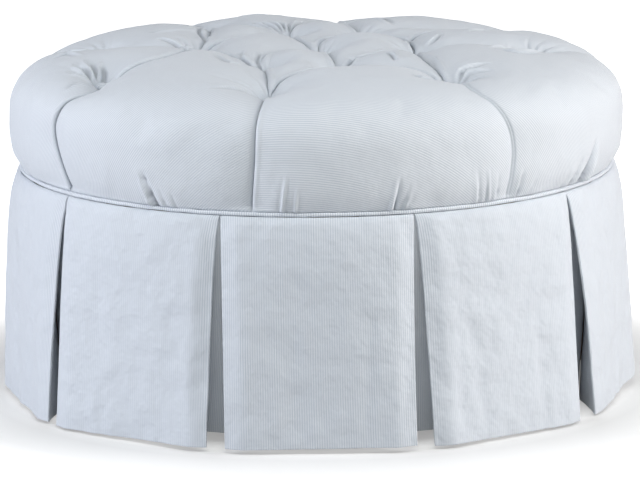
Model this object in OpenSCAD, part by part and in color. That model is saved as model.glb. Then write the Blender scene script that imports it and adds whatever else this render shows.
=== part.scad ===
// Round deep-tufted ottoman with a box-pleated skirt, standing on four legs hidden behind the skirt.
// Origin on the floor under the centre, +Z up, front towards -Y. Azimuth 0 is the front, positive to the right.

/* [Cushion] */
// Height of the crown of the cushion above the deck board
cushion_h = 181; // [150:1:230]
// How far the widest line of the cushion stands out past the deck board
cushion_bulge = 17.5; // [8:0.5:30]
// Height of the widest line above the deck board
belly_h = 63; // [45:1:75]
// How far the side draws in again from the widest line to the welt
side_tuck = 11; // [4:0.5:13]
// Depth of the button seats below the crown line
tuft_depth = 36; // [24:1:44]
// How far a button's seat is pressed below the folds that meet at it
seat_press = 2; // [1:0.5:4]
// Depth of the folds between tufts
crease_depth = 17; // [8:1:28]
// Distance from a fold at which a lobe reaches its full height
lobe_reach = 72; // [40:1:90]
// Depth of the side pleats at the shoulder
side_pleat_top = 15; // [6:1:26]
// Depth of the side pleats just above the welt
side_pleat_foot = 3.5; // [1:0.5:4]
// Distance from a side pleat at which a lobe reaches its full girth
side_reach = 85; // [60:1:130]
// How sharply a lobe turns into a fold, 1 for a straight slope
fold_sharpness = 2.6; // [1.5:0.1:3.5]
// Distance of the inner tufts from the centre
inner_tuft_r = 157; // [120:1:190]
// How far the outer tufts stand in from the deck board's edge
outer_tuft_inset = 110.7; // [94:0.1:150]

/* [Foam and tufting] */
// How far the foam pad stands in from the deck board's edge
foam_inset = 20.7; // [20:0.1:45]
// Thickness of the foam pad
foam_h = 127; // [90:1:130]
// Radius of the foam pad's upper edge
foam_edge_r = 68; // [20:1:75]
// Diameter of a covered button
button_d = 22; // [14:1:30]
// Thickness of a covered button
button_h = 9; // [6:0.5:12]
// Diameter of the tufting twine
twine_d = 2.4; // [1.6:0.1:4]
// Diameter of the washers that the twine is tied off on
washer_d = 24; // [16:1:34]
// Thickness of those washers
washer_t = 2; // [1.2:0.1:4]
// Diameter of the twine holes in the deck board
twine_hole_d = 8; // [6:0.5:12]

/* [Welt] */
// Diameter of the welt cord
welt_d = 6; // [5:0.5:11]
// How far the welt stands proud of the top of the skirt
welt_proud = 1.5; // [0.5:0.1:3]
// Height of the welt's centre above the top face of the deck board
welt_rise = 1; // [0:0.5:3]

/* [Skirt] */
// Number of skirt panels, with a pleat between each two
skirt_panels = 10; // [8:1:12]
// Thickness of the lined skirt cloth
cloth_t = 1.6; // [0.8:0.1:2.4]
// Space between layers of cloth in a pleat
fold_gap = 0.8; // [0.5:0.1:1.6]
// How far the hem's corners stand out past the top of the skirt
hem_flare = 34; // [10:1:50]
// Height of the hem above the floor
hem_h = 9; // [4:1:30]
// Height of the pleat inserts' hem above the panels' hem
insert_lift = 9; // [0:1:30]
// Width of the pleat opening at the hem
hem_gap = 28; // [8:1:40]
// How far the cloth is folded back behind a panel at each end
pleat_run = 77; // [50:1:90]
// How far the back of a pleat stands in from the panel at the hem
pleat_depth = 43; // [20:1:46]
// Thickness of the cardboard tack strip
tack_strip_t = 2; // [1:0.1:3]
// Width of the cardboard tack strip
tack_strip_w = 12; // [8:1:16]

/* [Frame] */
// Width of the deck board
deck_d = 847.4; // [840:0.2:900]
// Thickness of the deck board
deck_t = 18; // [15:1:25]
// How far the side boards stand in from the deck board's edge
drum_inset = 24; // [22:0.5:40]
// Thickness of the side boards
side_board_t = 2.5; // [1.5:0.1:4]
// Number of uprights and of base ring segments
upright_count = 6; // [6:1:8]
// Height of the uprights
upright_h = 240; // [180:1:280]
// Width of an upright along the rim
upright_w = 64; // [50:1:90]
// Depth of an upright towards the centre
upright_depth = 38; // [30:1:60]
// Thickness of the base ring
ring_t = 18; // [15:1:25]
// Width of the base ring
ring_w = 70; // [64:1:110]
// Diameter of the frame screws
screw_d = 5; // [4:0.1:6]
// Diameter of the frame screws' countersunk heads
screw_head_d = 9.6; // [8:0.1:12]
// Length of the frame screws
screw_l = 55; // [40:1:70]
// Thickness of the dust cover
dust_cover_t = 0.8; // [0.6:0.1:2]

/* [Legs] */
// Height of a leg without its glide
leg_h = 49; // [35:1:80]
// Diameter of a leg at the base ring
leg_top_d = 54; // [40:1:60]
// Diameter of a leg at its foot
leg_foot_d = 38; // [32:1:50]
// Diameter of the threaded stud in each leg
stud_d = 8; // [6:1:10]
// Depth of the stud in the leg
stud_depth = 28; // [18:1:32]
// Diameter of a T-nut's flange
t_nut_flange_d = 22; // [18:1:28]
// Outside diameter of a T-nut's barrel
t_nut_barrel_d = 11; // [11:0.5:14]
// Diameter of a glide
glide_d = 28; // [20:1:32]
// Thickness of a glide
glide_t = 6; // [4:0.5:9]

/* [Hidden] */
// Clearance between pieces that seat on each other
seat = 0.3;
// Clearance at each side of a stud or twine in its hole
hole_play = 0.2;
// How far a cut runs past the face it leaves
overcut = 1;

// The tufts: azimuth of each, how far it lies out of its ring, and its place in the cushion's mesh columns
lobe_cols = 6;
outer_tuft_az = [-63.5, -12, 39, 91, 131, 174, 211, 258];
outer_tuft_out = [27, 5, -9, 0, 0, 0, 0, 6];
inner_tuft_az = [-28, 11, 90, 155, 194, 263.5];
inner_tuft_out = [0, 0, -12, 0, 0, 17];
centre_tuft = [6, 0];
inner_tuft_col = [3, 9, 18, 27, 33, 42];
lobe_count = len(outer_tuft_az);
cols = lobe_cols * lobe_count;

// Heights, from the floor up
ring_z = glide_t + leg_h;
upright_z = ring_z + ring_t;
deck_z = upright_z + upright_h;
deck_top = deck_z + deck_t;
belly_z = deck_top + belly_h;
crown_z = deck_top + cushion_h;

// Radii, from the deck board out and in
deck_r = deck_d / 2;
foam_r = deck_r - foam_inset;
outer_tuft_r = deck_r - outer_tuft_inset;
strip_r = deck_r + seat;
insert_r = strip_r + tack_strip_t + seat;
skirt_r = insert_r + 3 * cloth_t + 2 * fold_gap;
welt_r = skirt_r + welt_proud - welt_d / 2;
belly_r = deck_r + cushion_bulge;
board_r = deck_r - drum_inset;
drum_r = board_r - side_board_t - seat;
ring_mid_r = drum_r - ring_w / 2;

// The skirt hangs just under the welt, which lies level with the top of the deck board
welt_z = deck_top + welt_rise;
skirt_z = welt_z - welt_d / 2 - seat;
panel_az = 360 / skirt_panels;
upright_az = 360 / upright_count;
upright_x = sqrt(pow(drum_r, 2) - pow(upright_w / 2, 2)) - upright_depth / 2;
screw_x = upright_w / 4;
leg_az = [45, 135, 225, 315];

function clamp(v, low, high) = min(high, max(low, v));
function mix(a, b, f) = a + (b - a) * f;
function at_az(r, az) = [r * sin(az), -r * cos(az)];
function spin(p, az) = [p.x * cos(az) - p.y * sin(az), p.x * sin(az) + p.y * cos(az)];

// Unfolded outline of the cushion: a rounded-square crown above its widest line, and a tuck below it
function crown_height(r) = belly_z + (crown_z - belly_z) * pow(1 - pow(r / belly_r, 4), 0.25);
function side_radius(z) = z > belly_z
    ? belly_r * pow(1 - pow((z - belly_z) / (crown_z - belly_z), 4), 0.25)
    : belly_r - side_tuck * pow((belly_z - z) / belly_h, 2);

// Tufts and the folds between them, in plan
outer_tufts = [for (i = [0 : lobe_count - 1]) at_az(outer_tuft_r + outer_tuft_out[i], outer_tuft_az[i])];
inner_tufts = [for (i = [0 : len(inner_tuft_az) - 1]) at_az(inner_tuft_r + inner_tuft_out[i], inner_tuft_az[i])];
tufts = concat([centre_tuft], inner_tufts, outer_tufts);
inner_folds = [[0, 1], [0, 2], [0, 4], [0, 5], [1, 6], [6, 5], [2, 3], [3, 4]];
outer_folds = [[1, 8], [2, 8], [2, 9], [3, 9], [3, 10], [3, 11], [4, 11], [4, 12],
               [5, 12], [5, 13], [6, 13], [6, 14], [6, 7]];
folds = concat(inner_folds, outer_folds);
function segment_gap(p, a, b) = let (ab = b - a, f = clamp((p - a) * ab / (ab * ab), 0, 1)) norm(p - a - ab * f);
function fold_gap_at(p) = min([for (f = folds) segment_gap(p, tufts[f[0]], tufts[f[1]])]);
function tuft_gap_at(p) = min([for (t = tufts) norm(p - t)]);
function pleat_gap_at(r, az) = r * PI / 180 * min([for (a = outer_tuft_az, turn = [-360, 0, 360]) abs(az - a - turn)]);
function sink(gap, reach, depth) = depth * pow(max(0, 1 - gap / reach), fold_sharpness);

// Mesh rings of the cushion: radius, height, lean of the sinking direction, half-column shift,
// and how far the columns are gathered towards the side pleats
inner_steps = [0.28, 0.53, 0.78];
outer_steps = 6;
shoulder_lean = 58;
shoulder_r = side_radius(mix(belly_z, crown_z, 0.85));
top_rings = concat(
    [for (f = inner_steps) [inner_tuft_r * f, 0, 0, 0]],
    [for (i = [0 : outer_steps]) [mix(inner_tuft_r, outer_tuft_r, i / outer_steps), 0, (i % 2) / 2, 0]],
    [for (f = [0.35, 0.7, 1]) [mix(outer_tuft_r, shoulder_r, f), shoulder_lean * f, 0, f]]
);
side_levels = [0.72, 0.55, 0.35, 0.15];
foot_levels = [0, 0.35, 0.7, 1];
foot_z = welt_z + welt_d / 2 + 2 * seat;
groove_r = welt_r - welt_d / 2 - 2 * seat;
rings = concat(
    [for (t = top_rings) [t[0], crown_height(t[0]), t[1], t[2], t[3]]],
    [for (f = side_levels) let (z = mix(belly_z, crown_z, f)) [side_radius(z), z, mix(90, shoulder_lean, f), 0, 1]],
    [for (f = foot_levels) let (z = mix(belly_z, foot_z, f)) [side_radius(z), z, 90, 0, 1]]
);

// Mesh columns lean so that they pass through the inner tufts and then the outer ones. On the side they
// crowd towards the pleats
gathered_cols = [0, 0.38, 1.6, 3, 4.4, 5.62, 6];
function outer_az(c) = lookup(c, [for (i = [-1 : lobe_count])
    [i * lobe_cols, i < 0 ? outer_tuft_az[lobe_count - 1] - 360
        : i == lobe_count ? outer_tuft_az[0] + 360 : outer_tuft_az[i]]]);
function gathered(c, amount) = let (lobe = floor(c / lobe_cols), k = c - lobe * lobe_cols)
    mix(c, lobe * lobe_cols + lookup(k, [for (i = [0 : lobe_cols]) [i, gathered_cols[i]]]), amount);
function inner_az(c) = let (n = len(inner_tuft_az)) lookup(c, [for (i = [-1 : n])
    i < 0 ? [inner_tuft_col[n - 1] - cols, inner_tuft_az[n - 1] - 360]
        : i == n ? [inner_tuft_col[0] + cols, inner_tuft_az[0] + 360] : [inner_tuft_col[i], inner_tuft_az[i]]]);
function column_az(c, r) =
    mix(inner_az(c), outer_az(c), clamp((r - inner_tuft_r) / (outer_tuft_r - inner_tuft_r), 0, 1));

function cushion_sink(r, z, az) = let (p = at_az(r, az), on_side = clamp((crown_z - z) / (crown_z - foot_z), 0, 1))
    r > outer_tuft_r + 1
    ? max(sink(pleat_gap_at(r, az), side_reach, mix(side_pleat_top, side_pleat_foot, on_side)),
          sink(tuft_gap_at(p), lobe_reach, tuft_depth - seat_press))
    : max(sink(fold_gap_at(p), lobe_reach, crease_depth), sink(tuft_gap_at(p), lobe_reach, tuft_depth - seat_press));
function cushion_point(ring, c) = let (az = column_az(gathered(c + ring[3], ring[4]), ring[0]),
    d = cushion_sink(ring[0], ring[1], az), p = at_az(ring[0] - d * sin(ring[2]), az))
    [p.x, p.y, ring[1] - d * cos(ring[2])];

module cushion_body() {
    n = len(rings);
    foot_rings = [[groove_r, foot_z - welt_d / 5], [groove_r, deck_top + seat]];
    points = concat(
        [[0, 0, crown_height(0) - tuft_depth + seat_press]],
        [for (ring = rings) for (c = [0 : cols - 1]) cushion_point(ring, c)],
        [for (ring = foot_rings) for (c = [0 : cols - 1])
            let (p = at_az(ring[0], outer_az(gathered(c, 1)))) [p.x, p.y, ring[1]]],
        [[0, 0, deck_top + seat]]
    );
    last = len(points) - 1;
    total = n + len(foot_rings);
    function at(i, c) = 1 + i * cols + (c % cols);
    function shifted(i) = i < n && rings[i][3] > 0;
    faces = concat(
        [for (c = [0 : cols - 1]) [0, at(0, c + 1), at(0, c)]],
        [for (i = [0 : total - 2]) for (c = [0 : cols - 1]) each shifted(i)
            ? [[at(i, c), at(i + 1, c + 1), at(i + 1, c)], [at(i, c), at(i, c + 1), at(i + 1, c + 1)]]
            : [[at(i, c), at(i, c + 1), at(i + 1, c)], [at(i, c + 1), at(i + 1, c + 1), at(i + 1, c)]]],
        [for (c = [0 : cols - 1]) [last, at(total - 1, c), at(total - 1, c + 1)]]
    );
    polyhedron(points, faces);
}

// The foam pad's outline, grown by a clearance for the hollow in the cover
module foam_form(grow) {
    r = foam_r + grow;
    h = foam_h + grow;
    rotate_extrude($fn = 96) union() {
        square([r - foam_edge_r, h]);
        square([r, h - foam_edge_r]);
        translate([r - foam_edge_r, h - foam_edge_r]) intersection() {
            circle(foam_edge_r, $fn = 64);
            square(foam_edge_r);
        }
    }
}

// The foam pad's hollow in the cover, which starts below the cover's foot so that it opens downwards
module foam_hollow() {
    translate([0, 0, -overcut]) cylinder(r = foam_r + seat, h = 2 * overcut, $fn = 96);
    translate([0, 0, seat]) foam_form(seat);
}

function seat_z(p) = crown_height(norm(p)) - tuft_depth;
module at_tufts() for (p = tufts) translate([p.x, p.y, 0]) children();

module tufted_cover() color("#c9d1d9") difference() {
    cushion_body();
    translate([0, 0, deck_top]) foam_hollow();
    for (p = tufts) translate([p.x, p.y, seat_z(p)]) cylinder(d = button_d + 2 * seat, h = 2 * tuft_depth, $fn = 32);
    at_tufts() translate([0, 0, deck_top]) cylinder(d = twine_d + 2 * hole_play, h = cushion_h, $fn = 24);
}
module foam_pad() color("#e9dfb8") difference() {
    translate([0, 0, deck_top + seat]) foam_form(0);
    at_tufts() translate([0, 0, deck_top]) cylinder(d = twine_d + 2 * hole_play, h = cushion_h, $fn = 24);
}

module tuft_buttons() color("#b9c2cb") for (p = tufts) translate([p.x, p.y, seat_z(p) + hole_play]) button();
module button() {
    dome_h = button_h * 0.6;
    dome_r = (pow(button_d / 2, 2) + pow(dome_h, 2)) / (2 * dome_h);
    intersection() {
        cylinder(d = button_d, h = button_h, $fn = 32);
        translate([0, 0, button_h - dome_r]) sphere(dome_r, $fn = 64);
    }
}

module tuft_twine() color("#efe8d8") for (p = tufts) translate([p.x, p.y, 0]) {
    knot_d = 3 * twine_d;
    tie_z = deck_z - washer_t - 2 * seat;
    translate([0, 0, tie_z - knot_d / 2]) union() {
        sphere(d = knot_d, $fn = 24);
        cylinder(d = twine_d, h = seat_z(p) - tie_z + knot_d / 2, $fn = 24);
    }
}
module tie_off_washers() color("#8f8a80") at_tufts() translate([0, 0, deck_z - washer_t - seat]) difference() {
    cylinder(d = washer_d, h = washer_t, $fn = 32);
    translate([0, 0, -overcut]) cylinder(d = twine_d + 2 * hole_play, h = washer_t + 2 * overcut, $fn = 24);
}

module welt_cord() color("#c3ccd6") rotate_extrude($fn = 120) translate([welt_r, welt_z]) circle(d = welt_d, $fn = 24);

// A sheet of even thickness between two grids of points, row by row from the top
module thick_sheet(front, back) {
    rows = len(front);
    n = len(front[0]);
    half = rows * n;
    points = concat([for (row = front) each row], [for (row = back) each row]);
    function f(i, j) = i * n + j;
    function b(i, j) = half + i * n + j;
    faces = concat(
        [for (i = [0 : rows - 2], j = [0 : n - 2])
            each [[f(i, j), f(i, j + 1), f(i + 1, j)], [f(i, j + 1), f(i + 1, j + 1), f(i + 1, j)]]],
        [for (i = [0 : rows - 2], j = [0 : n - 2])
            each [[b(i, j), b(i + 1, j), b(i, j + 1)], [b(i, j + 1), b(i + 1, j), b(i + 1, j + 1)]]],
        [for (j = [0 : n - 2]) each [[f(0, j), b(0, j), f(0, j + 1)], [f(0, j + 1), b(0, j), b(0, j + 1)]]],
        [for (j = [0 : n - 2]) let (i = rows - 1)
            each [[f(i, j), f(i, j + 1), b(i, j)], [f(i, j + 1), b(i, j + 1), b(i, j)]]],
        [for (i = [0 : rows - 2]) each [[f(i, 0), f(i + 1, 0), b(i, 0)], [f(i + 1, 0), b(i + 1, 0), b(i, 0)]]],
        [for (i = [0 : rows - 2]) let (j = n - 1)
            each [[f(i, j), b(i, j), f(i + 1, j)], [f(i + 1, j), b(i, j), b(i + 1, j)]]]
    );
    polyhedron(points, faces);
}

// The skirt at a fraction t of its drop: corner radius, corner angle and how straight the panel has become
skirt_drops = [0, 0.06, 0.2, 0.45, 0.72, 1];
function corner_r(t) = skirt_r + hem_flare * pow(t, 0.55);
function corner_az(t) = panel_az / 2 - (seat + hem_gap * t) / 2 / corner_r(t) * 180 / PI;
function straightness(t) = pow(t, 0.8);
// Point of a curve between two corners, an arc at the top and a straight line at the hem, sunk inwards
function drop_curve(r, half_az, u, straight, inward) = let (
    arc = at_az(r, u * half_az),
    chord = [u * r * sin(half_az), -r * cos(half_az)],
    p = mix(arc, chord, straight))
    p - inward * p / norm(p);

// One row of a panel: folded-back end, fold, face, fold, folded-back end, at a depth in the cloth from 0 to 1
face_steps = 6;
function panel_row(t, depth) = let (
    r = corner_r(t),
    a = corner_az(t),
    s = straightness(t),
    half_w = r * a * PI / 180,
    fold_r = cloth_t + fold_gap / 2,
    round_r = fold_r - depth * cloth_t,
    edge_u = 1 - fold_r / half_w,
    run_u = 1 - pleat_run / half_w,
    rear = fold_r + round_r,
    wedge = pleat_depth * t,
    right = concat(
        [for (q = [45, 90, 135]) drop_curve(r, a, edge_u + round_r / half_w * sin(q), s, fold_r - round_r * cos(q))],
        [for (f = [0.02, 0.5, 1]) drop_curve(r, a, mix(edge_u, run_u, f), s, rear + wedge * f)]),
    left = [for (i = [len(right) - 1 : -1 : 0]) [-right[i].x, right[i].y]],
    face = [for (i = [0 : face_steps]) drop_curve(r, a, mix(-edge_u, edge_u, i / face_steps), s, depth * cloth_t)])
    concat(left, face, right);

module skirt_panel(i) color("#ccd4dc") rotate((i - 1) * panel_az) {
    height = skirt_z - hem_h;
    grid = [for (depth = [0, 1]) [for (t = skirt_drops) [for (p = panel_row(t, depth)) [p.x, p.y, skirt_z - t * height]]]];
    thick_sheet(grid[0], grid[1]);
}

// The insert closes the back of a pleat, just behind the folded-back ends of its two neighbours
insert_steps = 4;
function insert_edge(t) = let (row = panel_row(t, 0)) spin(row[len(row) - 1], -panel_az / 2);
module pleat_insert(i) color("#a9b3bf") rotate((i - 0.5) * panel_az) {
    height = skirt_z - hem_h;
    last_t = 1 - insert_lift / height;
    grid = [for (depth = [0, 1]) [for (t = skirt_drops) let (tt = t * last_t, e = insert_edge(tt))
        [for (j = [0 : insert_steps])
            let (p = drop_curve(norm(e), atan2(abs(e.x), -e.y), 2 * j / insert_steps - 1, straightness(tt),
                fold_gap + depth * cloth_t)) [p.x, p.y, skirt_z - tt * height]]]];
    thick_sheet(grid[0], grid[1]);
}

module tack_strip() color("#b49a6c") translate([0, 0, skirt_z - tack_strip_w]) rotate_extrude($fn = 120)
    translate([strip_r, 0]) square([tack_strip_t, tack_strip_w]);

module deck_board() color("#d8b98a") difference() {
    translate([0, 0, deck_z]) cylinder(r = deck_r, h = deck_t, $fn = 120);
    at_tufts() translate([0, 0, deck_z - overcut]) cylinder(d = twine_hole_d, h = deck_t + 2 * overcut, $fn = 24);
    at_uprights() translate([0, 0, deck_top]) rotate([180, 0, 0]) screw(hole_play);
}

// A countersunk screw with its head's face at the origin and its shank along +Z, grown for its hole
module screw(grow) {
    head_h = (screw_head_d - screw_d) / 2;
    rotate_extrude($fn = 24) polygon([
        [0, -grow], [screw_head_d / 2 + grow, -grow], [screw_head_d / 2 + grow, 0], [screw_d / 2 + grow, head_h],
        [screw_d / 2 + grow, screw_l + grow], [0, screw_l + grow]
    ]);
}
// The screw places, two at the middle depth of each upright
module at_uprights() for (i = [1 : upright_count], x = [-screw_x, screw_x])
    rotate((i - 1) * upright_az) translate([x, -upright_x, 0]) children();

module deck_screws() color("#8d9196") at_uprights() translate([0, 0, deck_top]) rotate([180, 0, 0]) screw(0);
module ring_screws() color("#8d9196") at_uprights() translate([0, 0, ring_z]) screw(0);

module upright(i) color("#e0c79c") difference() {
    rotate((i - 1) * upright_az) translate([-upright_w / 2, -upright_x - upright_depth / 2, upright_z])
        cube([upright_w, upright_depth, upright_h]);
    rotate((i - 1) * upright_az) for (x = [-screw_x, screw_x]) translate([x, -upright_x, 0]) {
        translate([0, 0, deck_top]) rotate([180, 0, 0]) screw(hole_play);
        translate([0, 0, ring_z]) screw(hole_play);
    }
}

// A rectangle swept round the centre over one bay, with a small joint at each end
module bay(i, r_in, r_out, z, h) {
    joint_az = seat / r_out * 180 / PI;
    translate([0, 0, z]) rotate((i - 1) * upright_az - 90 + joint_az / 2)
        rotate_extrude(angle = upright_az - joint_az, $fn = 120) translate([r_in, 0]) square([r_out - r_in, h]);
}
module at_legs() for (az = leg_az) rotate(az) translate([0, -ring_mid_r, 0]) children();

module ring_segment(i) color("#d8b98a") difference() {
    bay(i, drum_r - ring_w, drum_r, ring_z, ring_t);
    at_uprights() translate([0, 0, ring_z]) screw(hole_play);
    at_legs() translate([0, 0, ring_z - overcut])
        cylinder(d = t_nut_barrel_d + 2 * hole_play, h = ring_t + 2 * overcut, $fn = 24);
}
module side_board(i) color("#9a6b3f") bay(i, board_r - side_board_t, board_r, ring_z, deck_z - ring_z - seat);

module leg(i) color("#5b3a24") rotate(leg_az[i - 1]) translate([0, -ring_mid_r, glide_t]) difference() {
    foot_round = 4;
    collar_h = 8;
    collar_step = 3;
    rotate_extrude($fn = 48) polygon([[0, 0], [leg_foot_d / 2 - foot_round, 0], [leg_foot_d / 2, foot_round],
        [leg_top_d / 2 - collar_step, leg_h - collar_h], [leg_top_d / 2, leg_h - collar_h],
        [leg_top_d / 2, leg_h], [0, leg_h]]);
    translate([0, 0, leg_h - stud_depth - overcut])
        cylinder(d = stud_d + 2 * hole_play, h = stud_depth + 2 * overcut, $fn = 32);
    translate([0, 0, -overcut]) cylinder(d = glide_nail_d + 2 * hole_play, h = glide_nail_l + 2 * overcut, $fn = 24);
}
t_nut_flange_t = 1.5;
stud_top = ring_t - t_nut_flange_t;
module leg_studs() color("#9da1a6") at_legs() translate([0, 0, ring_z - stud_depth])
    cylinder(d = stud_d, h = stud_depth + stud_top, $fn = 32);
module leg_t_nuts() color("#9da1a6") at_legs() translate([0, 0, ring_z + ring_t]) difference() {
    barrel_l = ring_t * 0.7;
    union() {
        translate([0, 0, seat / 2]) cylinder(d = t_nut_flange_d, h = t_nut_flange_t, $fn = 32);
        translate([0, 0, -barrel_l]) cylinder(d = t_nut_barrel_d, h = barrel_l + seat, $fn = 32);
    }
    translate([0, 0, -barrel_l - overcut])
        cylinder(d = stud_d + 2 * hole_play, h = barrel_l + t_nut_flange_t + 3 * overcut, $fn = 32);
}
glide_nail_d = 3;
glide_nail_l = 13;
module glides() color("#d9d9d6") at_legs() {
    edge = 1.5;
    rotate_extrude($fn = 48) polygon([[0, 0], [glide_d / 2 - edge, 0], [glide_d / 2, edge],
        [glide_d / 2, glide_t], [0, glide_t]]);
    cylinder(d = glide_nail_d, h = glide_t + glide_nail_l, $fn = 24);
}

// How far the dust cover's edge stands in from the base ring's
dust_cover_inset = 6;
module dust_cover() color("#2a2a2c") difference() {
    translate([0, 0, ring_z - dust_cover_t - seat]) cylinder(r = drum_r - dust_cover_inset, h = dust_cover_t, $fn = 120);
    at_legs() translate([0, 0, ring_z - 2 * dust_cover_t - seat])
        cylinder(d = leg_top_d + 2 * seat, h = 3 * dust_cover_t, $fn = 48);
}

tufted_cover();
foam_pad();
tuft_buttons();
tuft_twine();
tie_off_washers();
welt_cord();
for (i = [1 : skirt_panels]) {
    skirt_panel(i);
    pleat_insert(i);
}
tack_strip();
deck_board();
deck_screws();
for (i = [1 : upright_count]) {
    upright(i);
    ring_segment(i);
    side_board(i);
}
ring_screws();
for (i = [1 : len(leg_az)]) {
    leg(i);
}
leg_studs();
leg_t_nuts();
glides();
dust_cover();
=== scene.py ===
# Round deep-tufted ottoman with a box-pleated skirt. Metres, +Z up, front towards -Y.
# Azimuths are degrees in plan, 0 at the front and positive to the right.
import bpy
import math
import numpy as np
from mathutils import Matrix, Vector, geometry


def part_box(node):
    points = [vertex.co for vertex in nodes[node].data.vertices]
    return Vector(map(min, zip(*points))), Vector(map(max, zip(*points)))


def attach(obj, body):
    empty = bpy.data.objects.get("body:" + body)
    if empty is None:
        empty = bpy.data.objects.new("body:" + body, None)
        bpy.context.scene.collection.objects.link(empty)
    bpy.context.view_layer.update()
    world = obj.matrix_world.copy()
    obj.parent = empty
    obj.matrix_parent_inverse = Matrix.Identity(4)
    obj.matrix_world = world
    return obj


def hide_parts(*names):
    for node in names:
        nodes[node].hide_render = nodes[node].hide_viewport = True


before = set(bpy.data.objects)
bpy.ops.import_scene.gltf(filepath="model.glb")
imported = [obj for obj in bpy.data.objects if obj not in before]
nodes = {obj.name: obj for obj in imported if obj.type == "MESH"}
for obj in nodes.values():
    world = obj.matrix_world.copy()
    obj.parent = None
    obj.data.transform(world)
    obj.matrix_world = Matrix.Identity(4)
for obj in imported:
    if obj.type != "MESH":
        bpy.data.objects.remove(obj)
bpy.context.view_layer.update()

# Sizes read from the frame
_, deck_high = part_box("deck_board")
welt_low, welt_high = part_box("welt_cord")
foam_low, foam_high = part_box("foam_pad")
DECK_TOP = deck_high.z
DECK_R = deck_high.x
WELT_D = welt_high.z - welt_low.z
WELT_R = welt_high.x - WELT_D / 2
WELT_Z = (welt_low.z + welt_high.z) / 2
FOAM_R = foam_high.x
FOAM_H = foam_high.z - DECK_TOP

# The cushion's outline: a rounded-square crown above its widest line, and a tuck below it
CUSHION_H = 0.181
BELLY_H = 0.063
CUSHION_BULGE = 0.0175
SIDE_TUCK = 0.011
FOAM_EDGE_R = 0.068
SEAT = 0.0003
CROWN_Z = DECK_TOP + CUSHION_H
BELLY_Z = DECK_TOP + BELLY_H
BELLY_R = DECK_R + CUSHION_BULGE
FOOT_Z = WELT_Z + WELT_D / 2 + 2 * SEAT
GROOVE_R = WELT_R - WELT_D / 2 - 2 * SEAT

# The tufts in plan, the centre one first: distance from the centre and azimuth
OUTER_TUFT_R = [0.340, 0.318, 0.304, 0.313, 0.313, 0.313, 0.313, 0.319]
OUTER_TUFT_AZ = [-63.5, -12, 39, 91, 131, 174, 211, 258]
TUFT_R = [0.006] + [0.157, 0.157, 0.145, 0.157, 0.157, 0.174] + OUTER_TUFT_R
TUFT_AZ = [90] + [-28, 11, 90, 155, 194, 263.5] + OUTER_TUFT_AZ
TUFT_DEPTH = 0.036
BUTTON_D = 0.022
BUTTON_H = 0.009

# The skirt
SKIRT_PANELS = 10
CLOTH_T = 0.0016
FOLD_GAP = 0.0008
HEM_FLARE = 0.034
HEM_H = 0.009
INSERT_LIFT = 0.009
HEM_GAP = 0.028
PLEAT_RUN = 0.077
PLEAT_DEPTH = 0.043
SKIRT_Z = WELT_Z - WELT_D / 2
SKIRT_H = SKIRT_Z - HEM_H
SKIRT_R = WELT_R + WELT_D / 2 - 0.0015


def plan(r, az):
    """Points in plan at a distance from the centre and an azimuth in degrees."""
    a = np.radians(az)
    return np.stack([r * np.sin(a), -r * np.cos(a)], -1)


def ease(x):
    """0 below 0, 1 above 1 and a smooth step between."""
    x = np.clip(x, 0, 1)
    return x * x * (3 - 2 * x)


def bell(x, width):
    """1 at 0 and falling smoothly to both sides."""
    return np.exp(-(x / width) ** 2)


def wave_field(points, length, count, seed):
    """Smooth noise of about the given wavelength at points in the plane or in space, from -1 to 1."""
    draw = np.random.default_rng(seed)
    total = np.zeros(len(points))
    for _ in range(count):
        heading = draw.normal(size=points.shape[1])
        heading /= np.linalg.norm(heading)
        phase = points @ heading * 2 * math.pi / length / draw.uniform(0.7, 1.5)
        total += np.sin(phase + draw.uniform(0, 6.28))
    return total / math.sqrt(count) / 1.5


# Camera, at the photograph's viewing angle: turned a little, tipped down, then rolled about its line of sight
CAMERA_TURN, CAMERA_ROLL = -0.0006, -0.0084
CAMERA_TIP = math.radians(90 - 11.247)
camera_data = bpy.data.cameras.new("camera")
camera_data.lens = 264.07
camera_data.sensor_width = 36
camera_data.clip_end = 50
camera = bpy.data.objects.new("camera", camera_data)
bpy.context.scene.collection.objects.link(camera)
bpy.context.scene.camera = camera
aim = Matrix.Rotation(CAMERA_TURN, 3, "Z") @ Matrix.Rotation(CAMERA_TIP, 3, "X")
camera.rotation_mode = "QUATERNION"
camera.rotation_quaternion = (aim @ Matrix.Rotation(CAMERA_ROLL, 3, "Z")).to_quaternion()
camera.location = (0, -6.766, 1.557)

# Materials
def new_material(name):
    """A material, its node tree and its shader."""
    material = bpy.data.materials.new(name)
    material.use_nodes = True
    return material, material.node_tree, material.node_tree.nodes["Principled BSDF"]


def set_inputs(tree, node, inputs):
    """Sets a node's inputs, by name or number, to a value, or links them to another node's socket."""
    for key, value in inputs.items():
        if isinstance(value, bpy.types.NodeSocket):
            tree.links.new(value, node.inputs[key])
        else:
            node.inputs[key].default_value = value


def new_node(tree, kind, inputs=None, **settings):
    """A shader node of a kind, with its settings and inputs."""
    node = tree.nodes.new("ShaderNode" + kind)
    for key, value in settings.items():
        setattr(node, key, value)
    set_inputs(tree, node, inputs or {})
    return node


def rgb(red, green, blue):
    """A colour written as it should show, from 0 to 255, in linear light."""
    def linear(c):
        c = c / 255
        return c / 12.92 if c <= 0.04045 else ((c + 0.055) / 1.055) ** 2.4
    return (linear(red), linear(green), linear(blue), 1)


def math_node(tree, kind, *values):
    return new_node(tree, "Math", dict(enumerate(values)), operation=kind).outputs[0]


def mix_colour(tree, share, a, b):
    return new_node(tree, "Mix", {0: share, 6: a, 7: b}, data_type="RGBA").outputs[2]


def noise(tree, vector, scale, detail):
    return new_node(tree, "TexNoise", {"Vector": vector, "Scale": scale, "Detail": detail}).outputs["Fac"]


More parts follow.
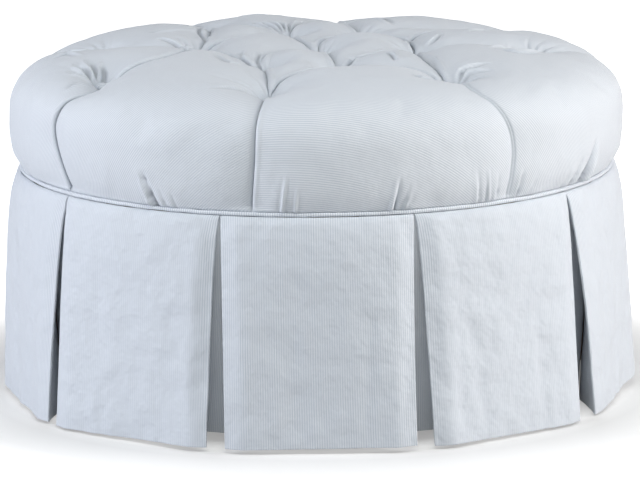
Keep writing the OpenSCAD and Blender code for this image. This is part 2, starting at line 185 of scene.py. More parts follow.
def bump(tree, height, distance, normal=None):
    node = new_node(tree, "Bump", {"Height": height, "Strength": 1, "Distance": distance})
    if normal is not None:
        tree.links.new(normal, node.inputs["Normal"])
    return node.outputs["Normal"]


STRIPE_PITCH = 0.0033
STRIPE_WANDER = 0.0016
STRIPE_BUMP = 0.00012
THREAD_PITCH = 0.0009
THREAD_BUMP = 0.00004


def striped_cloth(name, light, dark, crumple=0.0025):
    """Woven cloth with a fine stripe along the first direction of its own UV map, which is in metres, and
    painted shade in its creases.
    """
    material, tree, shader = new_material(name)
    uv = new_node(tree, "UVMap", uv_map="cloth").outputs[0]

    def maths(kind, *values):
        return math_node(tree, kind, *values)

    def attribute(key):
        return new_node(tree, "Attribute", attribute_name=key).outputs["Fac"]

    def streaks(scale):
        return noise(tree, new_node(tree, "Mapping", {0: uv, "Scale": scale}).outputs[0], 1, 2)

    along, across, _ = new_node(tree, "SeparateXYZ", {0: uv}).outputs
    wandering = maths("ADD", across, maths("MULTIPLY", noise(tree, uv, 14, 2), STRIPE_WANDER))
    wave = maths("SINE", maths("MULTIPLY", wandering, 2 * math.pi / STRIPE_PITCH))
    shown = maths("MULTIPLY_ADD", attribute("plain"), -0.82, 1.0)
    stripe = maths("MULTIPLY_ADD", wave, maths("MULTIPLY", streaks((4, 75, 1)), shown), 0.5)
    threads = [maths("SINE", maths("MULTIPLY", way, 2 * math.pi / THREAD_PITCH)) for way in (along, across)]
    shade = tuple(c * 0.9 for c in dark[:3]) + (1,)
    # Painted shade: a dimmed copy of the dark tone, which the creases are darkened towards
    painted_shade_tone = tuple(c * 0.55 for c in dark[:3]) + (1,)
    tone = mix_colour(tree, stripe, dark, light)
    tone = mix_colour(tree, maths("MULTIPLY", streaks((90, 900, 1)), 0.22), tone, shade)
    tone = mix_colour(tree, maths("MULTIPLY", noise(tree, uv, 22, 4), 0.10), tone, shade)
    # Painted shade in creases: the colour goes up to halfway towards the dimmed dark tone where the mesh
    # marks a crease
    tone = mix_colour(tree, maths("MULTIPLY", attribute("crease_shade"), 0.5), tone, painted_shade_tone)
    ribbed = bump(tree, stripe, STRIPE_BUMP)
    woven = bump(tree, maths("MULTIPLY", *threads), THREAD_BUMP, ribbed)
    crumpled = bump(tree, noise(tree, uv, 19, 3), crumple, woven)
    set_inputs(tree, shader, {
        "Base Color": tone, "Normal": crumpled, "Roughness": 0.72, "Sheen Weight": 0.18,
        "Sheen Roughness": 0.45, "Specular IOR Level": 0.32})
    return material


def plain_material(name, a, b, scale, rough, depth, stretch=(1, 1, 1), metal=0.0):
    """Two tones mixed by noise in space, with a fine bump."""
    material, tree, shader = new_material(name)
    place = new_node(tree, "TexCoord").outputs["Object"]
    cloud = noise(tree, new_node(tree, "Mapping", {0: place, "Scale": stretch}).outputs[0], scale, 4)
    set_inputs(tree, shader, {
        "Base Color": mix_colour(tree, cloud, rgb(*a), rgb(*b)), "Normal": bump(tree, cloud, depth),
        "Roughness": rough, "Metallic": metal})
    return material


# The crown's share of the widest radius that is drawn by radius, the rest being drawn by height
CROWN_SHARE = 0.93
# Steps of the outline's table, those over which its radius grows, and those its slope is averaged over
LINE_STEPS = 1200
CROWN_STEPS = 900
SLOPE_STEPS = 41
# The crown's section is a rounded square of this power
CROWN_POWER = 4


def crown_height(r):
    return BELLY_Z + (CROWN_Z - BELLY_Z) * (1 - (r / BELLY_R) ** CROWN_POWER) ** (1 / CROWN_POWER)


def cushion_outline():
    """The cushion's outline as a table: arc length from the crown's centre, radius, height and slope."""
    r = np.linspace(0, CROWN_SHARE * BELLY_R, 500)
    top = np.stack([r, crown_height(r)], 1)
    z = np.linspace(top[-1, 1], BELLY_Z, 250)[1:]
    rise = (z - BELLY_Z) / (CROWN_Z - BELLY_Z)
    side = np.stack([BELLY_R * (1 - rise ** CROWN_POWER) ** (1 / CROWN_POWER), z], 1)
    z = np.linspace(BELLY_Z, FOOT_Z, 120)[1:]
    foot = np.stack([BELLY_R - SIDE_TUCK * ((BELLY_Z - z) / BELLY_H) ** 2, z], 1)
    line = np.concatenate([top, side, foot])
    along = np.concatenate([[0], np.cumsum(np.hypot(*np.diff(line, axis=0).T))])
    s = np.linspace(0, along[-1], LINE_STEPS)
    r = np.interp(s, along, line[:, 0])
    z = np.interp(s, along, line[:, 1])
    lean = np.unwrap(np.arctan2(-np.gradient(z, s), np.gradient(r, s)))
    kernel = np.hanning(SLOPE_STEPS) / np.hanning(SLOPE_STEPS).sum()
    lean = np.convolve(np.pad(lean, SLOPE_STEPS // 2, mode="edge"), kernel, mode="valid")
    return s, r, z, lean


LINE_S, LINE_R, LINE_Z, LINE_LEAN = cushion_outline()
FOOT_S = LINE_S[-1]

# Tufts in the cushion's unfolded plane, where a point lies at its arc length from the centre
TUFT_S = np.interp(TUFT_R, LINE_R[:CROWN_STEPS], LINE_S[:CROWN_STEPS])
OUTER_TUFT_S = TUFT_S[-len(OUTER_TUFT_R):]
TUFTS = np.array([plan(s, az) for s, az in zip(TUFT_S, TUFT_AZ)])

# Folds on top: the two tufts, the bow to the left as a share of the length, and the side that laps over
TOP_FOLDS = [
    (0, 1, -0.20, 1), (0, 2, 0.00, -1), (0, 4, 0.18, 1), (0, 5, 0.03, -1), (1, 6, 0.00, -1),
    (6, 5, 0.10, 1), (2, 3, 0.08, 1), (3, 4, -0.20, -1), (1, 8, 0.02, 1), (2, 8, -0.10, -1),
    (2, 9, 0.10, 1), (3, 9, -0.03, 1), (3, 10, 0.05, -1), (3, 11, 0.20, 1), (4, 11, 0.05, -1),
    (4, 12, 0.00, 1), (5, 12, 0.10, -1), (5, 13, -0.05, 1), (6, 13, -0.05, -1), (6, 14, 0.12, 1),
    (6, 7, 0.17, -1),
]
SHALLOW_FOLDS = {(6, 7): 0.40}
# Side pleats: azimuths at the shoulder, the widest line and the foot, the side that laps over, how strong
# they are, and the depth and reach of the valley at the tuft
SIDE_PLEATS = [
    (-55, -59.2, -54, -1, 1.3, 0.030, 0.040), (-11, -11, -12, 1, 1.0, 0.018, 0.030),
    (35, 39.2, 38, -1, 1.1, 0.011, 0.026), (97, 101, 101, -1, 1.0, 0.018, 0.030),
    (130, 130, 131, 1, 1.0, 0.022, 0.050), (175, 174, 173, -1, 1.1, 0.024, 0.062),
    (210, 212, 211, 1, 1.0, 0.018, 0.030), (254, 252, 252, -1, 1.0, 0.018, 0.050),
]
BEAD_PLEAT = 2
SHOULDER_S, BELLY_S = 0.385, 0.49
# Fans of puckers: tuft, heading in plan from +X, half the fan's width, number of folds, reach and depth
FANS = [
    (7, 128, 42, 5, 0.034, 0.0026), (5, 130, 34, 6, 0.030, 0.0020), (9, 60, 30, 4, 0.036, 0.0024),
    (1, 98, 30, 4, 0.022, 0.0056), (2, 60, 30, 4, 0.020, 0.0044), (3, 120, 40, 4, 0.022, 0.0044),
    (10, 60, 50, 5, 0.026, 0.0044), (14, 120, 50, 5, 0.026, 0.0044), (6, 95, 50, 5, 0.022, 0.0052),
    (0, 90, 50, 6, 0.018, 0.0040), (4, 80, 40, 4, 0.022, 0.0044), (8, 100, 26, 3, 0.026, 0.0044),
    (8, 165, 24, 2, 0.030, 0.0050), (11, 20, 40, 5, 0.026, 0.0044), (12, 80, 40, 5, 0.026, 0.0044),
    (13, 150, 40, 5, 0.026, 0.0044),
]
# Loose creases: width, depth and points of arc length and azimuth. A ridge lies on their left
CREASES = [
    (0.0042, 0.0080, (0.346, -65), (0.352, -67), (0.362, -72.5)),
    (0.0042, 0.0080, (0.343, -65.5), (0.338, -69), (0.342, -74)),
    (0.0042, 0.0080, (0.337, -65), (0.329, -67.5), (0.325, -71)),
    (0.0036, 0.0050, (0.352, -64.8), (0.360, -66.6), (0.378, -68.4)),
    (0.0034, 0.0040, (0.372, -60), (0.388, -62), (0.410, -61)),
    (0.0034, 0.0044, (0.236, -104), (0.208, -101), (0.190, -97)),
    (0.0032, 0.0050, (0.205, -88), (0.196, -78), (0.198, -66)),
    (0.0030, 0.0044, (0.102, -53), (0.125, -42), (0.148, -33)),
    (0.0030, 0.0044, (0.120, -62), (0.140, -50), (0.150, -40)),
    (0.0034, 0.0044, (0.362, -24), (0.340, -19), (0.322, -15)),
    (0.0030, 0.0040, (0.345, -8), (0.330, -9), (0.318, -11)),
    (0.0036, 0.0060, (0.303, 41.5), (0.290, 46), (0.304, 52.5)),
    (0.0036, 0.0044, (0.309, 42), (0.303, 45.5), (0.326, 49)),
    (0.0040, 0.0030, (0.316, 41.5), (0.326, 43), (0.350, 44.5)),
    (0.0030, 0.0044, (0.178, 62), (0.215, 52), (0.268, 42)),
    (0.0028, 0.0040, (0.150, 44), (0.165, 41), (0.188, 37)),
    (0.0034, 0.0040, (0.170, 100), (0.182, 104), (0.198, 111)),
    (0.0034, 0.0050, (0.270, -140), (0.220, -128), (0.176, -116)),
    (0.0028, 0.0056, (0.188, -162.5), (0.220, -161), (0.252, -159)),
    (0.0028, 0.0056, (0.190, -164), (0.215, -163), (0.244, -161.3)),
    (0.0028, 0.0056, (0.192, -165.5), (0.214, -165), (0.238, -163.7)),
    (0.0028, 0.0050, (0.194, -167), (0.212, -167), (0.230, -166.3)),
    (0.0028, 0.0050, (0.196, -168.5), (0.210, -169.2), (0.228, -169.4)),
    (0.0030, 0.0050, (0.200, -170), (0.240, -173.5), (0.276, -176)),
    (0.0040, 0.0040, (0.282, 72), (0.306, 71), (0.335, 74)),
    (0.0040, 0.0036, (0.264, 75), (0.280, 84), (0.290, 96)),
    (0.0040, 0.0040, (0.304, 72), (0.330, 82), (0.336, 97)),
    (0.0044, 0.0036, (0.378, -86), (0.362, -88), (0.350, -82)),
    (0.0050, 0.0030, (0.183, -53), (0.213, -36), (0.208, -31)),
    (0.0040, 0.0034, (0.108, 26), (0.128, 24.5), (0.136, 20)),
    (0.0036, 0.0034, (0.303, 27), (0.318, 27), (0.330, 29)),
    (0.0050, 0.0034, (0.240, 110), (0.290, 118), (0.300, 124)),
    (0.0050, 0.0034, (0.230, 150), (0.270, 158), (0.290, 160)),
    (0.0050, 0.0034, (0.340, 190), (0.372, 196), (0.390, 197)),
    (0.0050, 0.0034, (0.230, 228), (0.260, 240), (0.270, 244)),
]
# Tucks just above the welt: azimuth, height, width, depth and lean in degrees over the height
TUCKS = [
    (-31.0, 0.054, 0.0050, 0.0150, -2.4), (-28.6, 0.034, 0.0050, 0.0030, -1.2),
    (-26.6, 0.026, 0.0050, 0.0020, -0.8), (-6.4, 0.056, 0.0042, -0.0046, 1.0),
    (-4.0, 0.040, 0.0036, -0.0032, 0.6), (14.2, 0.050, 0.0046, 0.0090, 0.9),
    (16.0, 0.042, 0.0040, -0.0046, 1.6), (31.2, 0.056, 0.0042, 0.0040, -1.2),
    (33.2, 0.052, 0.0040, -0.0036, -0.8), (35.2, 0.042, 0.0040, 0.0050, -0.2),
    (40.2, 0.044, 0.0044, 0.0074, 1.1), (42.8, 0.034, 0.0040, 0.0036, 1.6),
    (59.4, 0.060, 0.0080, 0.0190, 4.0), (55.6, 0.042, 0.0070, 0.0080, 2.2),
    (52.6, 0.032, 0.0050, 0.0040, 1.4), (-72.0, 0.036, 0.0050, 0.0060, -1.0),
    (-88.0, 0.030, 0.0045, 0.0036, 0.8), (112.0, 0.040, 0.0050, 0.0080, 1.0),
    (120.0, 0.030, 0.0045, 0.0036, -0.8), (150.0, 0.042, 0.0050, 0.0080, -1.0),
    (163.0, 0.030, 0.0045, -0.0034, 0.6), (191.0, 0.040, 0.0050, 0.0070, 0.9),
    (203.0, 0.032, 0.0045, 0.0040, -0.7), (231.0, 0.042, 0.0050, 0.0080, -1.2),
    (241.0, 0.030, 0.0045, -0.0034, 0.9),
]

# The section of a fold, heights and widths: its rolled edge with a wide foot, the crevice beside it, and the
# cloth that dips under it, sharply and then gently
ROLL_H, ROLL_AT, ROLL_W = 0.0026, 0.0040, 0.0030
ROLL_FOOT_H, ROLL_FOOT_W = 0.0012, 0.012
CREVICE_DEPTH, CREVICE_W = 0.0036, 0.0012
DIP_DEPTH, DIP_W = 0.0068, 0.0024
SOFT_DIP_DEPTH, SOFT_DIP_W = 0.0016, 0.009
# The section of the pleat that shows as a bead
BEAD_H, BEAD_W, BEAD_EDGE = 0.0020, 0.0017, 0.0030
BEAD_LEFT_DEPTH, BEAD_LEFT_W = 0.0012, 0.0010
BEAD_RIGHT_DEPTH, BEAD_RIGHT_W = 0.0034, 0.0009
# Valleys add up by this power, so that the deepest one rules
VALLEY_POWER = 3.0
VALLEY_DEPTH = 0.016
VALLEY_REACH = 0.030
VALLEY_ROUND = 0.003
LOW_PLEAT_DEPTH = 0.0060
PLEAT_FADE = 0.12
PLEAT_ROLL = 0.45
PIT_DEPTH = 0.030
PIT_REACH = 0.024
PIT_FLOOR_R = BUTTON_D / 2 + 0.0012
LAP = 0.0032
LAP_REACH = 0.0085
SIDE_LAP = 0.0016
SIDE_LAP_REACH = 0.0060
GATHER_W = 0.008
TUFT_GATHER = 0.045
# The cloth stands fuller between the side pleats, most at the sides, and a little above each tuck
FULL_H, FULL_SIDES_H = 0.0016, 0.0043
TUCK_FULL_H, TUCK_FULL_W = 0.0016, 0.030
# Uneven cloth: wavelengths and heights
BROAD_WAVE, BROAD_H = 0.085, 0.0010
FINE_WAVE, FINE_H = 0.034, 0.0004
FOOT_PINCH, FOOT_PINCH_W = 0.0006, 0.0025
# A crease this deep gets the full painted shade
SHADE_FULL_DEPTH = 0.004


def fold_curve(a, b, bow, steps=18):
    """Points along a fold between two tufts, bowed to its left."""
    across = np.array([a[1] - b[1], b[0] - a[0]])
    middle = (a + b) / 2 + 2 * bow * across
    f = np.linspace(0, 1, steps)[:, None]
    return (1 - f) ** 2 * a + 2 * f * (1 - f) * middle + f ** 2 * b


def near_curve(points, curve):
    """Distance of each point from a curve, its side, 1 on the left, the left normal and how far along."""
    best = np.full(len(points), 1e9)
    side = np.ones(len(points))
    normal = np.zeros((len(points), 2))
    along = np.zeros(len(points))
    count = len(curve) - 1
    for i in range(count):
        start, step = curve[i], curve[i + 1] - curve[i]
        f = np.clip((points - start) @ step / (step @ step), 0, 1)
        off = points - start - f[:, None] * step
        gap = np.hypot(off[:, 0], off[:, 1])
        closer = gap < best
        best[closer] = gap[closer]
        side[closer] = np.where(step[0] * off[closer, 1] - step[1] * off[closer, 0] >= 0, 1, -1)
        normal[closer] = np.array([-step[1], step[0]]) / np.hypot(*step)
        along[closer] = (i + f[closer]) / count
    return best, side, normal, along


def pleat_az(i, s):
    """Azimuth of a side pleat at an arc length, rounded where it bends."""
    shoulder, belly, foot, *_ = SIDE_PLEATS[i]
    start = OUTER_TUFT_S[i]
    knots = [start, max(SHOULDER_S, start + 0.04), BELLY_S, FOOT_S]
    az = [OUTER_TUFT_AZ[i], shoulder, belly, foot]
    return np.mean([np.interp(s + d, knots, az) for d in np.linspace(-0.020, 0.020, 7)], axis=0)


def side_of_fold(gap, over, strength, roll=1.0):
    """The section of a fold: its edge rolls over into the crevice, and the cloth under it dips."""
    edge = ROLL_H * bell(gap - ROLL_AT, ROLL_W) + ROLL_FOOT_H * np.exp(-gap / ROLL_FOOT_W)
    rolled = roll * edge - CREVICE_DEPTH * np.exp(-gap / CREVICE_W)
    under = -DIP_DEPTH * np.exp(-gap / DIP_W) - SOFT_DIP_DEPTH * np.exp(-gap / SOFT_DIP_W)
    return strength * np.where(over, rolled, under)


def bead(across):
    """A narrow bead of cloth with a faint crease on its left and a sharp one on its right."""
    left = BEAD_LEFT_DEPTH * np.exp(-np.abs(across + BEAD_EDGE) / BEAD_LEFT_W)
    right = BEAD_RIGHT_DEPTH * np.exp(-np.abs(across - BEAD_EDGE) / BEAD_RIGHT_W)
    return BEAD_H * bell(across, BEAD_W) - left - right


def turn(az):
    """An angle in degrees brought between -180 and 180."""
    return (az + 180) % 360 - 180


def arc(r, az):
    """Distance round a circle for an angle in degrees, the short way, positive to the right."""
    return r * np.radians(turn(az))


def tuft_distance(p):
    return np.min([np.hypot(*(p - t).T) for t in TUFTS], axis=0)


def beside_fold(p, a, b, bow, reach):
    """Which points lie within reach of the fold between two tufts, and what near_curve gives for them."""
    middle = (TUFTS[a] + TUFTS[b]) / 2
    half = np.hypot(*(TUFTS[a] - TUFTS[b])) / 2
    near = np.nonzero(np.hypot(*(p - middle).T) < half + reach)[0]
    return near, *near_curve(p[near], fold_curve(TUFTS[a], TUFTS[b], bow))


def nearest_fold(p):
    """For points in the unfolded plane, the distance to the nearest top fold and the way towards it."""
    best = np.full(len(p), 1.0)
    way = np.zeros((len(p), 2))
    for a, b, bow, _ in TOP_FOLDS:
        near, gap, side, normal, _ = beside_fold(p, a, b, bow, 0.05)
        closer = gap < best[near]
        best[near[closer]] = gap[closer]
        way[near[closer]] = -(side[:, None] * normal)[closer]
    return best, way


def gathered(s, az):
    """The mesh's points drawn towards the top folds, so that each fold has its own line of points."""
    p = plan(s, az)
    for t in TUFTS:
        gap = np.hypot(*(p - t).T)[:, None]
        p = t + (p - t) * np.where(gap < TUFT_GATHER, 0.5 + 0.5 * gap / TUFT_GATHER, 1)
    gap, way = nearest_fold(p)
    off_tuft = ease((tuft_distance(p) - 0.014) / 0.010)
    move = np.where(gap < GATHER_W, gap - gap ** 2 / GATHER_W, 0) * off_tuft
    p = p + way * move[:, None]
    return np.hypot(*p.T), az + turn(np.degrees(np.arctan2(p[:, 0], -p[:, 1])) - az)


def valley(gap, depth, reach):
    """A valley's part in the sum of all, at a distance from its line."""
    soft = np.sqrt(gap ** 2 + VALLEY_ROUND ** 2) - VALLEY_ROUND
    return (depth * np.exp(-soft / reach)) ** VALLEY_POWER


def cushion_form(s, az):
    """How far each point of the cushion stands out from its outline, its shift down the outline and round it,
    and how deep in a crease it lies, as the share of painted shade that its crease gets."""
    r = np.interp(s, LINE_S, LINE_R)
    p = plan(s, az)
    valleys = np.zeros(len(s))
    folds = np.zeros(len(s))
    shift = np.zeros((len(s), 2))
    tuft_gap = tuft_distance(p)
    off_tuft = ease((tuft_gap - 0.010) / 0.018)

    for a, b, bow, lap in TOP_FOLDS:
        inside, gap, side, normal, along = beside_fold(p, a, b, bow, 0.12)
        ends = np.abs(2 * along - 1)
        depth = VALLEY_DEPTH * SHALLOW_FOLDS.get((a, b), 1) * (1 + 0.3 * ends ** 3)
        valleys[inside] += valley(gap, depth, VALLEY_REACH)
        over = side == lap
        near = off_tuft[inside] * ease((1 - ends) / 0.10 + 0.3)
        folds[inside] += side_of_fold(gap, over, near)
        pull = near * np.where(over, LAP, 0) * np.exp(-gap / LAP_REACH)
        shift[inside] -= (side * pull)[:, None] * normal

    shift_rad = (shift * p).sum(1) / np.maximum(s, 1e-6)
    shift_tan = (shift[:, 1] * p[:, 0] - shift[:, 0] * p[:, 1]) / np.maximum(s, 1e-6)

    for i, (_, _, _, lap, strength, high_depth, reach) in enumerate(SIDE_PLEATS):
        start = OUTER_TUFT_S[i]
        across = arc(r, az - pleat_az(i, s))
        gap = np.hypot(across, np.maximum(0, start - s))
        down = ease((s - start) / PLEAT_FADE)
        valleys += valley(gap, high_depth * (1 - down) + LOW_PLEAT_DEPTH * down, reach)
        on = ease((s - start - 0.010) / 0.025)
        over = across * lap >= 0
        if i == BEAD_PLEAT:
            folds += on * bead(across)
        else:
            folds += side_of_fold(gap, over, on * strength, PLEAT_ROLL)
            pull = np.sign(across) * SIDE_LAP * np.exp(-gap / SIDE_LAP_REACH)
            shift_tan -= on * np.where(over, pull, 0)

    for t in TUFTS:
        wall = np.maximum(0, np.hypot(*(p - t).T) - PIT_FLOOR_R)
        valleys += (PIT_DEPTH * np.exp(-wall / PIT_REACH)) ** VALLEY_POWER
    sunk = valleys ** (1 / VALLEY_POWER)
    height = folds - sunk

    for tuft, heading, half, count, reach, depth in FANS:
        off = p - TUFTS[tuft]
        gap = np.hypot(*off.T)
        angle = turn(np.degrees(np.arctan2(off[:, 1], off[:, 0])) - heading)
        window = ease((1 - np.abs(angle) / half) / 0.35) * np.clip(gap / reach, 0, 1)
        window = window * np.exp(1 - gap / reach) * (gap < 5 * reach)
        bend = 4 * np.sin(gap / 0.02 + tuft)
        phase = math.pi * count * (angle + bend) / (2 * half)
        height += depth * window * (np.abs(np.cos(phase)) ** 0.6 - 0.6)

    for wide, deep, *points in CREASES:
        line = np.array([plan(*point) for point in points])
        near = np.nonzero(np.hypot(*(p - line[0]).T) < 0.15)[0]
        gap, side, _, along = near_curve(p[near], line)
        fade = np.sin(math.pi * np.clip(along, 0.02, 0.98)) ** 0.5 * np.exp(-np.maximum(0, gap - 0.02) / 0.01)
        ridge = 0.8 * bell(gap - 1.7 * wide, wide) * (side > 0)
        height[near] -= deep * fade * (bell(gap, wide) - ridge)

    for tuck_az, tall, wide, deep, lean in TUCKS:
        up = (FOOT_S - s) / tall
        across = arc(r, az - tuck_az - lean * up)
        # On the right-hand side the hollow of a tuck lies on its left
        if 45 < tuck_az < 180:
            across = -across
        fade = np.where(up > -0.1, np.clip(1 - up, 0, 1) ** 0.9, 0)
        if deep > 0:
            slit = np.exp(-np.abs(across) / (0.34 * wide))
            slope = np.where(across > 0, 0.5 * np.exp(-across / (1.3 * wide)), 0)
            notch = slit + slope - 0.45 * bell(across + 1.2 * wide, 0.7 * wide)
        else:
            banks = bell(np.abs(across) - wide, 0.5 * wide)
            notch = bell(across, 0.5 * wide) - 0.5 * banks
        height -= deep * fade * notch
        height += TUCK_FULL_H * bell(across, TUCK_FULL_W) * np.clip(1 - up / 1.8, 0, 1)

    pleat_gap = np.min([np.abs(arc(r, az - pleat_az(i, s))) for i in range(LOBES)], axis=0)
    full = ease((s - 0.430) / 0.055) * ease((FOOT_S - s) / 0.026)
    height += full * (FULL_H + FULL_SIDES_H * np.sin(np.radians(az)) ** 4) * ease(pleat_gap / 0.06)
    # Painted shade: the deeper a point lies in a crease, the darker its colour is painted
    painted_crease_shade = np.clip(-(height + sunk) / SHADE_FULL_DEPTH, 0, 1) * ease((tuft_gap - 0.008) / 0.01)
    broad = wave_field(p, BROAD_WAVE, 9, 3)
    fine = wave_field(p, FINE_WAVE, 9, 4)
    height += off_tuft * (BROAD_H * broad + FINE_H * fine)
    rim = ease((tuft_gap - PIT_FLOOR_R) / 0.006)
    height = height * rim - TUFT_DEPTH * (1 - rim)
    height -= FOOT_PINCH * np.exp(-(FOOT_S - s) / FOOT_PINCH_W)
    foot = ease((FOOT_S - s) / 0.005)
    return height * (0.35 + 0.65 * foot), shift_rad * foot, shift_tan * foot, painted_crease_shade


def cushion_points(s, az):
    """Points in space of the cushion's skin, and the painted shade of the crease each lies in, from 0 to 1 by
    its depth.
    """
    height, down, around, painted_crease_shade = cushion_form(s, az)
    r = np.interp(s, LINE_S, LINE_R)
    z = np.interp(s, LINE_S, LINE_Z)
    lean = np.interp(s, LINE_S, LINE_LEAN)
    sink = lean * ease((s - 0.345) / 0.06)
    a = np.radians(az)
    out = np.stack([np.sin(a), -np.cos(a), 0 * a], 1)
    side = np.stack([np.cos(a), np.sin(a), 0 * a], 1)
    up = np.array([0, 0, 1.0])
    normal = out * np.sin(sink)[:, None] + up * np.cos(sink)[:, None]
    slope = out * np.cos(lean)[:, None] - up * np.sin(lean)[:, None]
    points = out * r[:, None] + up * z[:, None] + normal * height[:, None] + slope * down[:, None]
    return points + side * around[:, None], painted_crease_shade


# Meshes from arrays
def corner_list(faces):
    """The points at the corners of all faces, one face after another."""
    return faces.ravel() if isinstance(faces, np.ndarray) else np.concatenate([np.array(f) for f in faces])


def point_layer(obj, name, values):
    """A value for each point of a mesh that its material reads, 0 at the points after the last value."""
    layer = obj.data.attributes.new(name, "FLOAT", "POINT")
    rest = np.zeros(len(obj.data.vertices) - len(values))
    layer.data.foreach_set("value", np.concatenate([values, rest]).astype(np.float32))


def raised(ring, z):
    """Points in plan brought to a height."""
    return np.concatenate([ring, np.full((len(ring), 1), z)], 1)


def new_mesh(name, points, faces, material, uvs=None):
    """A mesh object from points and faces, with the cloth's UV at each corner of each face."""
    sizes = np.array([len(f) for f in faces])
    corners = corner_list(faces)
    mesh = bpy.data.meshes.new(name)
    mesh.vertices.add(len(points))
    mesh.vertices.foreach_set("co", np.asarray(points, np.float32).ravel())
    mesh.loops.add(len(corners))
    mesh.loops.foreach_set("vertex_index", corners.astype(np.int32))
    mesh.polygons.add(len(sizes))
    starts = np.concatenate([[0], np.cumsum(sizes)[:-1]])
    mesh.polygons.foreach_set("loop_start", starts.astype(np.int32))
    mesh.polygons.foreach_set("use_smooth", np.full(len(sizes), True))
    mesh.update(calc_edges=True)
    mesh.validate()
    if uvs is not None:
        layer = mesh.uv_layers.new(name="cloth")
        layer.data.foreach_set("uv", np.asarray(uvs, np.float32).ravel())
    mesh.materials.append(material)
    obj = bpy.data.objects.new(name, mesh)
    bpy.context.scene.collection.objects.link(obj)
    return obj


def ring_faces(counts):
    """Faces between rings of points, each with as many as the last, twice or half, and a fan at a ring of 1.
    Gives the faces, and for each the share of the turn at which it starts."""
    faces, shares = [], []
    base = 0
    for m, n in zip(counts[:-1], counts[1:]):
        a, b = base, base + m
        if m == 1:
            faces += [(a, b + j, b + (j + 1) % n) for j in range(n)]
            shares += [j / n for j in range(n)]
        elif n == 1:
            faces += [(a + j, b, a + (j + 1) % m) for j in range(m)]
            shares += [j / m for j in range(m)]
        elif m == n:
            faces += [(a + j, b + j, b + (j + 1) % n, a + (j + 1) % m) for j in range(n)]
            shares += [j / n for j in range(n)]
        elif n == 2 * m:
            for j in range(m):
                k = (j + 1) % m
                faces += [(a + j, b + 2 * j, b + 2 * j + 1), (a + j, b + 2 * j + 1, a + k),
                          (a + k, b + 2 * j + 1, b + (2 * j + 2) % n)]
                shares += [j / m] * 3
        else:
            for j in range(n):
                k = (j + 1) % n
                faces += [(a + 2 * j, b + j, a + 2 * j + 1), (b + j, b + k, a + 2 * j + 1),
                          (a + 2 * j + 1, b + k, a + (2 * j + 2) % m)]
                shares += [j / n] * 3
        base += m
    return faces, np.array(shares)


def beside_folds(s, az):
    """0 at a side pleat or a tuck and 1 away from it, where the stripes show."""
    r = np.interp(s, LINE_S, LINE_R)
    clear = np.ones(len(s))
    for i in range(LOBES):
        clear = np.minimum(clear, ease((np.abs(arc(r, az - pleat_az(i, s))) - 0.003) / 0.008))
    for tuck_az, tall, wide, _, lean in TUCKS:
        up = (FOOT_S - s) / tall
        across = np.abs(arc(r, az - tuck_az - lean * up))
        clear = np.minimum(clear, np.maximum(ease((across - 0.5 * wide) / 0.006), ease(2.5 * up - 1.8)))
    return clear


# The cover's points lie in rings round the centre and in columns, as many for each lobe between two pleats
LOBE_COLUMNS = 120
LOBES = len(OUTER_TUFT_AZ)
COLUMNS = LOBE_COLUMNS * LOBES
WIDEST_STEP = 0.0055
PLEAT_STEP = 0.0006
TUCK_STEP = 0.0015
DEEP_TUCK_STEP = 0.0007
DEEP_TUCK = 0.006
# The top, whose points gather at its folds, ends at the first of these arc lengths, and the low side starts
# at the second; between them the rings are wider apart
TOP_S, LOW_SIDE_S = 0.40, 0.51
RING_STEP = 0.0024
SIDE_RING_STEP = 0.0032
# Arc lengths within which a ring has half, a quarter and an eighth of the columns
HALVED_S = (0.15, 0.075, 0.035)
# How far each lobe's cloth is turned on the side, in degrees, and where the stripes begin to show on it
LOBE_TWIST = np.array([-14, 5, 8, -6, 5, -5, 7, -7])
STRIPES_S = 0.366
STRIPES_FADE = 0.065


def lobe_spacing(i):
    """Places of a lobe's columns, from 0 to 1, crowded at its two pleats and at its tucks."""
    width = (OUTER_TUFT_AZ[(i + 1) % LOBES] - OUTER_TUFT_AZ[i]) % 360
    length = BELLY_R * math.radians(width)
    x = np.linspace(0, length, 4000)
    edge = np.minimum(x, length - x)
    step = np.minimum(WIDEST_STEP, PLEAT_STEP + 0.12 * edge)
    for tuck_az, _, _, deep, _ in TUCKS:
        share = ((tuck_az - OUTER_TUFT_AZ[i]) % 360) / width
        if share < 1:
            finest = DEEP_TUCK_STEP if deep > DEEP_TUCK else TUCK_STEP
            step = np.minimum(step, finest + 0.16 * np.abs(x - share * length))
    total = np.concatenate([[0], np.cumsum((1 / step[1:] + 1 / step[:-1]) / 2 * np.diff(x))])
    return np.interp(np.linspace(0, total[-1], LOBE_COLUMNS + 1), total, x / length)[:-1]


def column_az(s, count, crowded):
    """Azimuths of one ring's points. A lobe's columns start at its side pleat, and crowd as given."""
    gather = ease((s - 0.315) / 0.05)
    even = np.arange(len(crowded[0])) / len(crowded[0])
    parts = []
    for i in range(LOBES):
        here = pleat_az(i, s)
        there = here + (pleat_az((i + 1) % LOBES, s) - here) % 360
        parts.append(here + (there - here) * (even * (1 - gather) + crowded[i] * gather))
    return np.concatenate(parts)[:: LOBES * len(even) // count]


def ring_count(s, most):
    return most >> sum(s <= limit for limit in HALVED_S)


# Loose cloth from a simulation: the cover is a little too long for its way round the tufts
SIM_STEP = 0.006
SIM_COLUMNS = 40
SIM_FRAMES = 20
AIR_PRESSURE = 4
HOLD_REACH = 0.005
SLACK = 0.11
SLACK_REACH = 0.065
WRINKLE_CAP = 0.0036
CELL_S, CELL_AZ = 0.002, 0.25
# The wrinkles that are kept lie between two smoothings, given in cells
FINE_BLUR, WIDE_BLUR = (1.5, 1.5), (11, 14)


